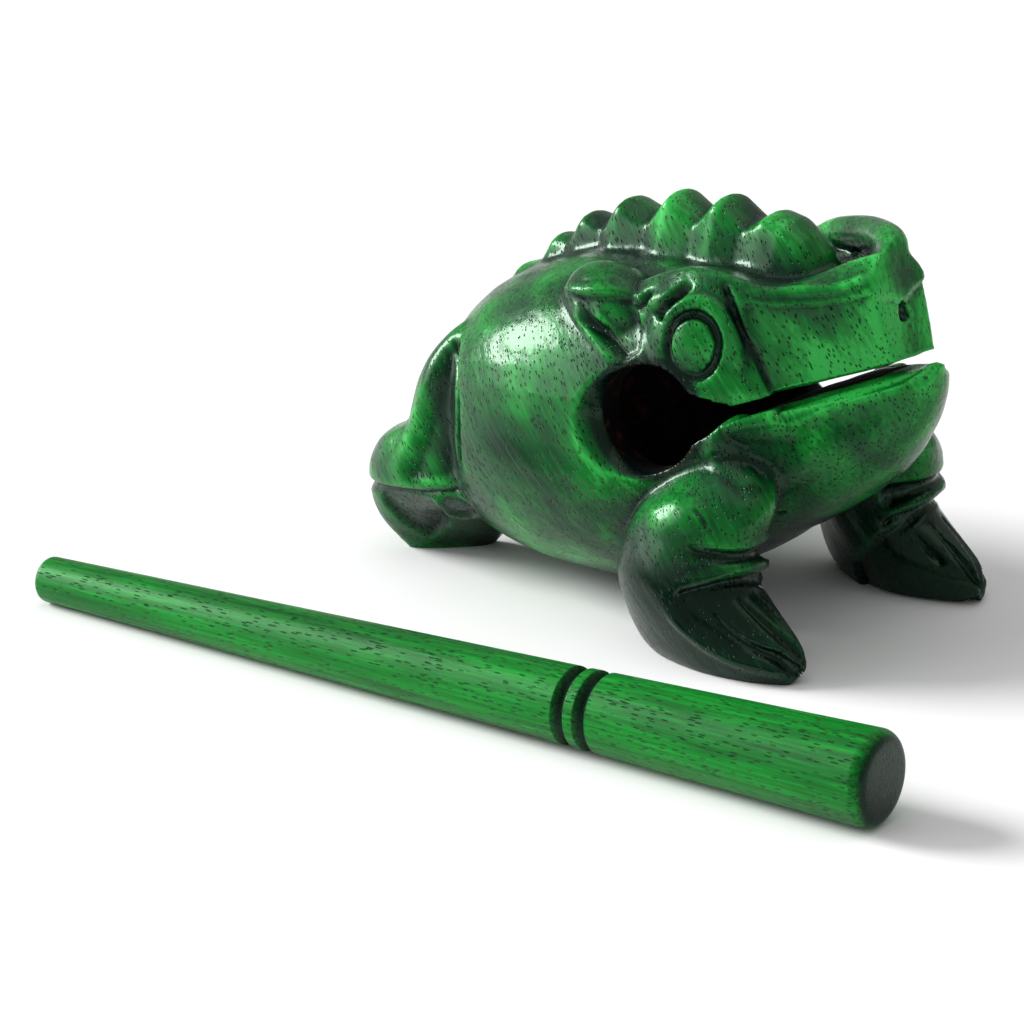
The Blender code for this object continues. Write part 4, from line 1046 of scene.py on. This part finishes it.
studio = {
    "floorColour": "#fafafa", "floorHalf": 6.0, "floorRoughness": 0.9, "floorSpecular": 0.1,
    "worldLight": 0.36,
    # way to the light, the angle that it covers in degrees, light on a surface that faces it
    "suns": (((-0.82, -0.36, 0.46), 26.0, 3.9), ((-0.70, -0.68, 0.26), 40.0, 1.1),
             ((0.05, 0.10, 1.00), 60.0, 0.5)),
    "cameraTarget": (15.8, -66.8, 35.0),    # mm, in the frog's own frame
    "cameraAzimuth": 42.5, "cameraElevation": 19.5, "cameraDistance": 709.0, "lens": 140.6,
}


def makeFloor():
    half = studio["floorHalf"]
    mesh = bpy.data.meshes.new("floor")
    corners = [(-half, -half, 0), (half, -half, 0), (half, half, 0), (-half, half, 0)]
    mesh.from_pydata(corners, [], [(0, 1, 2, 3)])
    made = bpy.data.objects.new("floor", mesh)
    bpy.context.scene.collection.objects.link(made)
    material, tree, shader = newMaterial("pale paper floor")
    shader.inputs["Base Color"].default_value = toLinear(studio["floorColour"])
    shader.inputs["Roughness"].default_value = studio["floorRoughness"]
    shader.inputs["Specular IOR Level"].default_value = studio["floorSpecular"]
    mesh.materials.append(material)


def makeWorld():
    # a dim, even room; the white floor is the background
    world = bpy.data.worlds.new("studio")
    bpy.context.scene.world = world
    world.use_nodes = True
    world.node_tree.nodes["Background"].inputs["Color"].default_value = (1, 1, 1, 1)
    world.node_tree.nodes["Background"].inputs["Strength"].default_value = studio["worldLight"]


def makeSuns():
    # wide suns stand in for large softboxes far away, so that the floor is lit evenly
    for k, (way, spread, strength) in enumerate(studio["suns"]):
        lamp = bpy.data.lights.new("softbox %d" % (k + 1), "SUN")
        lamp.angle = math.radians(spread)
        lamp.energy = strength
        made = bpy.data.objects.new(lamp.name, lamp)
        bpy.context.scene.collection.objects.link(made)
        made.rotation_euler = Vector(way).to_track_quat("Z", "Y").to_euler()


def makeCamera():
    # set back from its target at the photograph's azimuth, from -Y towards +X, and elevation
    azimuth = math.radians(studio["cameraAzimuth"])
    elevation = math.radians(studio["cameraElevation"])
    back = Vector((math.sin(azimuth) * math.cos(elevation), -math.cos(azimuth) * math.cos(elevation),
                   math.sin(elevation)))
    lens = bpy.data.cameras.new("camera")
    lens.lens = studio["lens"]
    lens.sensor_width = 36.0
    lens.clip_start = 0.01
    lens.clip_end = 20.0
    camera = bpy.data.objects.new("camera", lens)
    bpy.context.scene.collection.objects.link(camera)
    camera.location = (Vector(studio["cameraTarget"]) + back * studio["cameraDistance"]) * mm + Vector(shift)
    camera.rotation_euler = back.to_track_quat("Z", "Y").to_euler()
    bpy.context.scene.camera = camera


makeFloor()
makeWorld()
makeSuns()
makeCamera()
bpy.context.scene.view_settings.view_transform = "Standard"

bpy.context.view_layer.update()
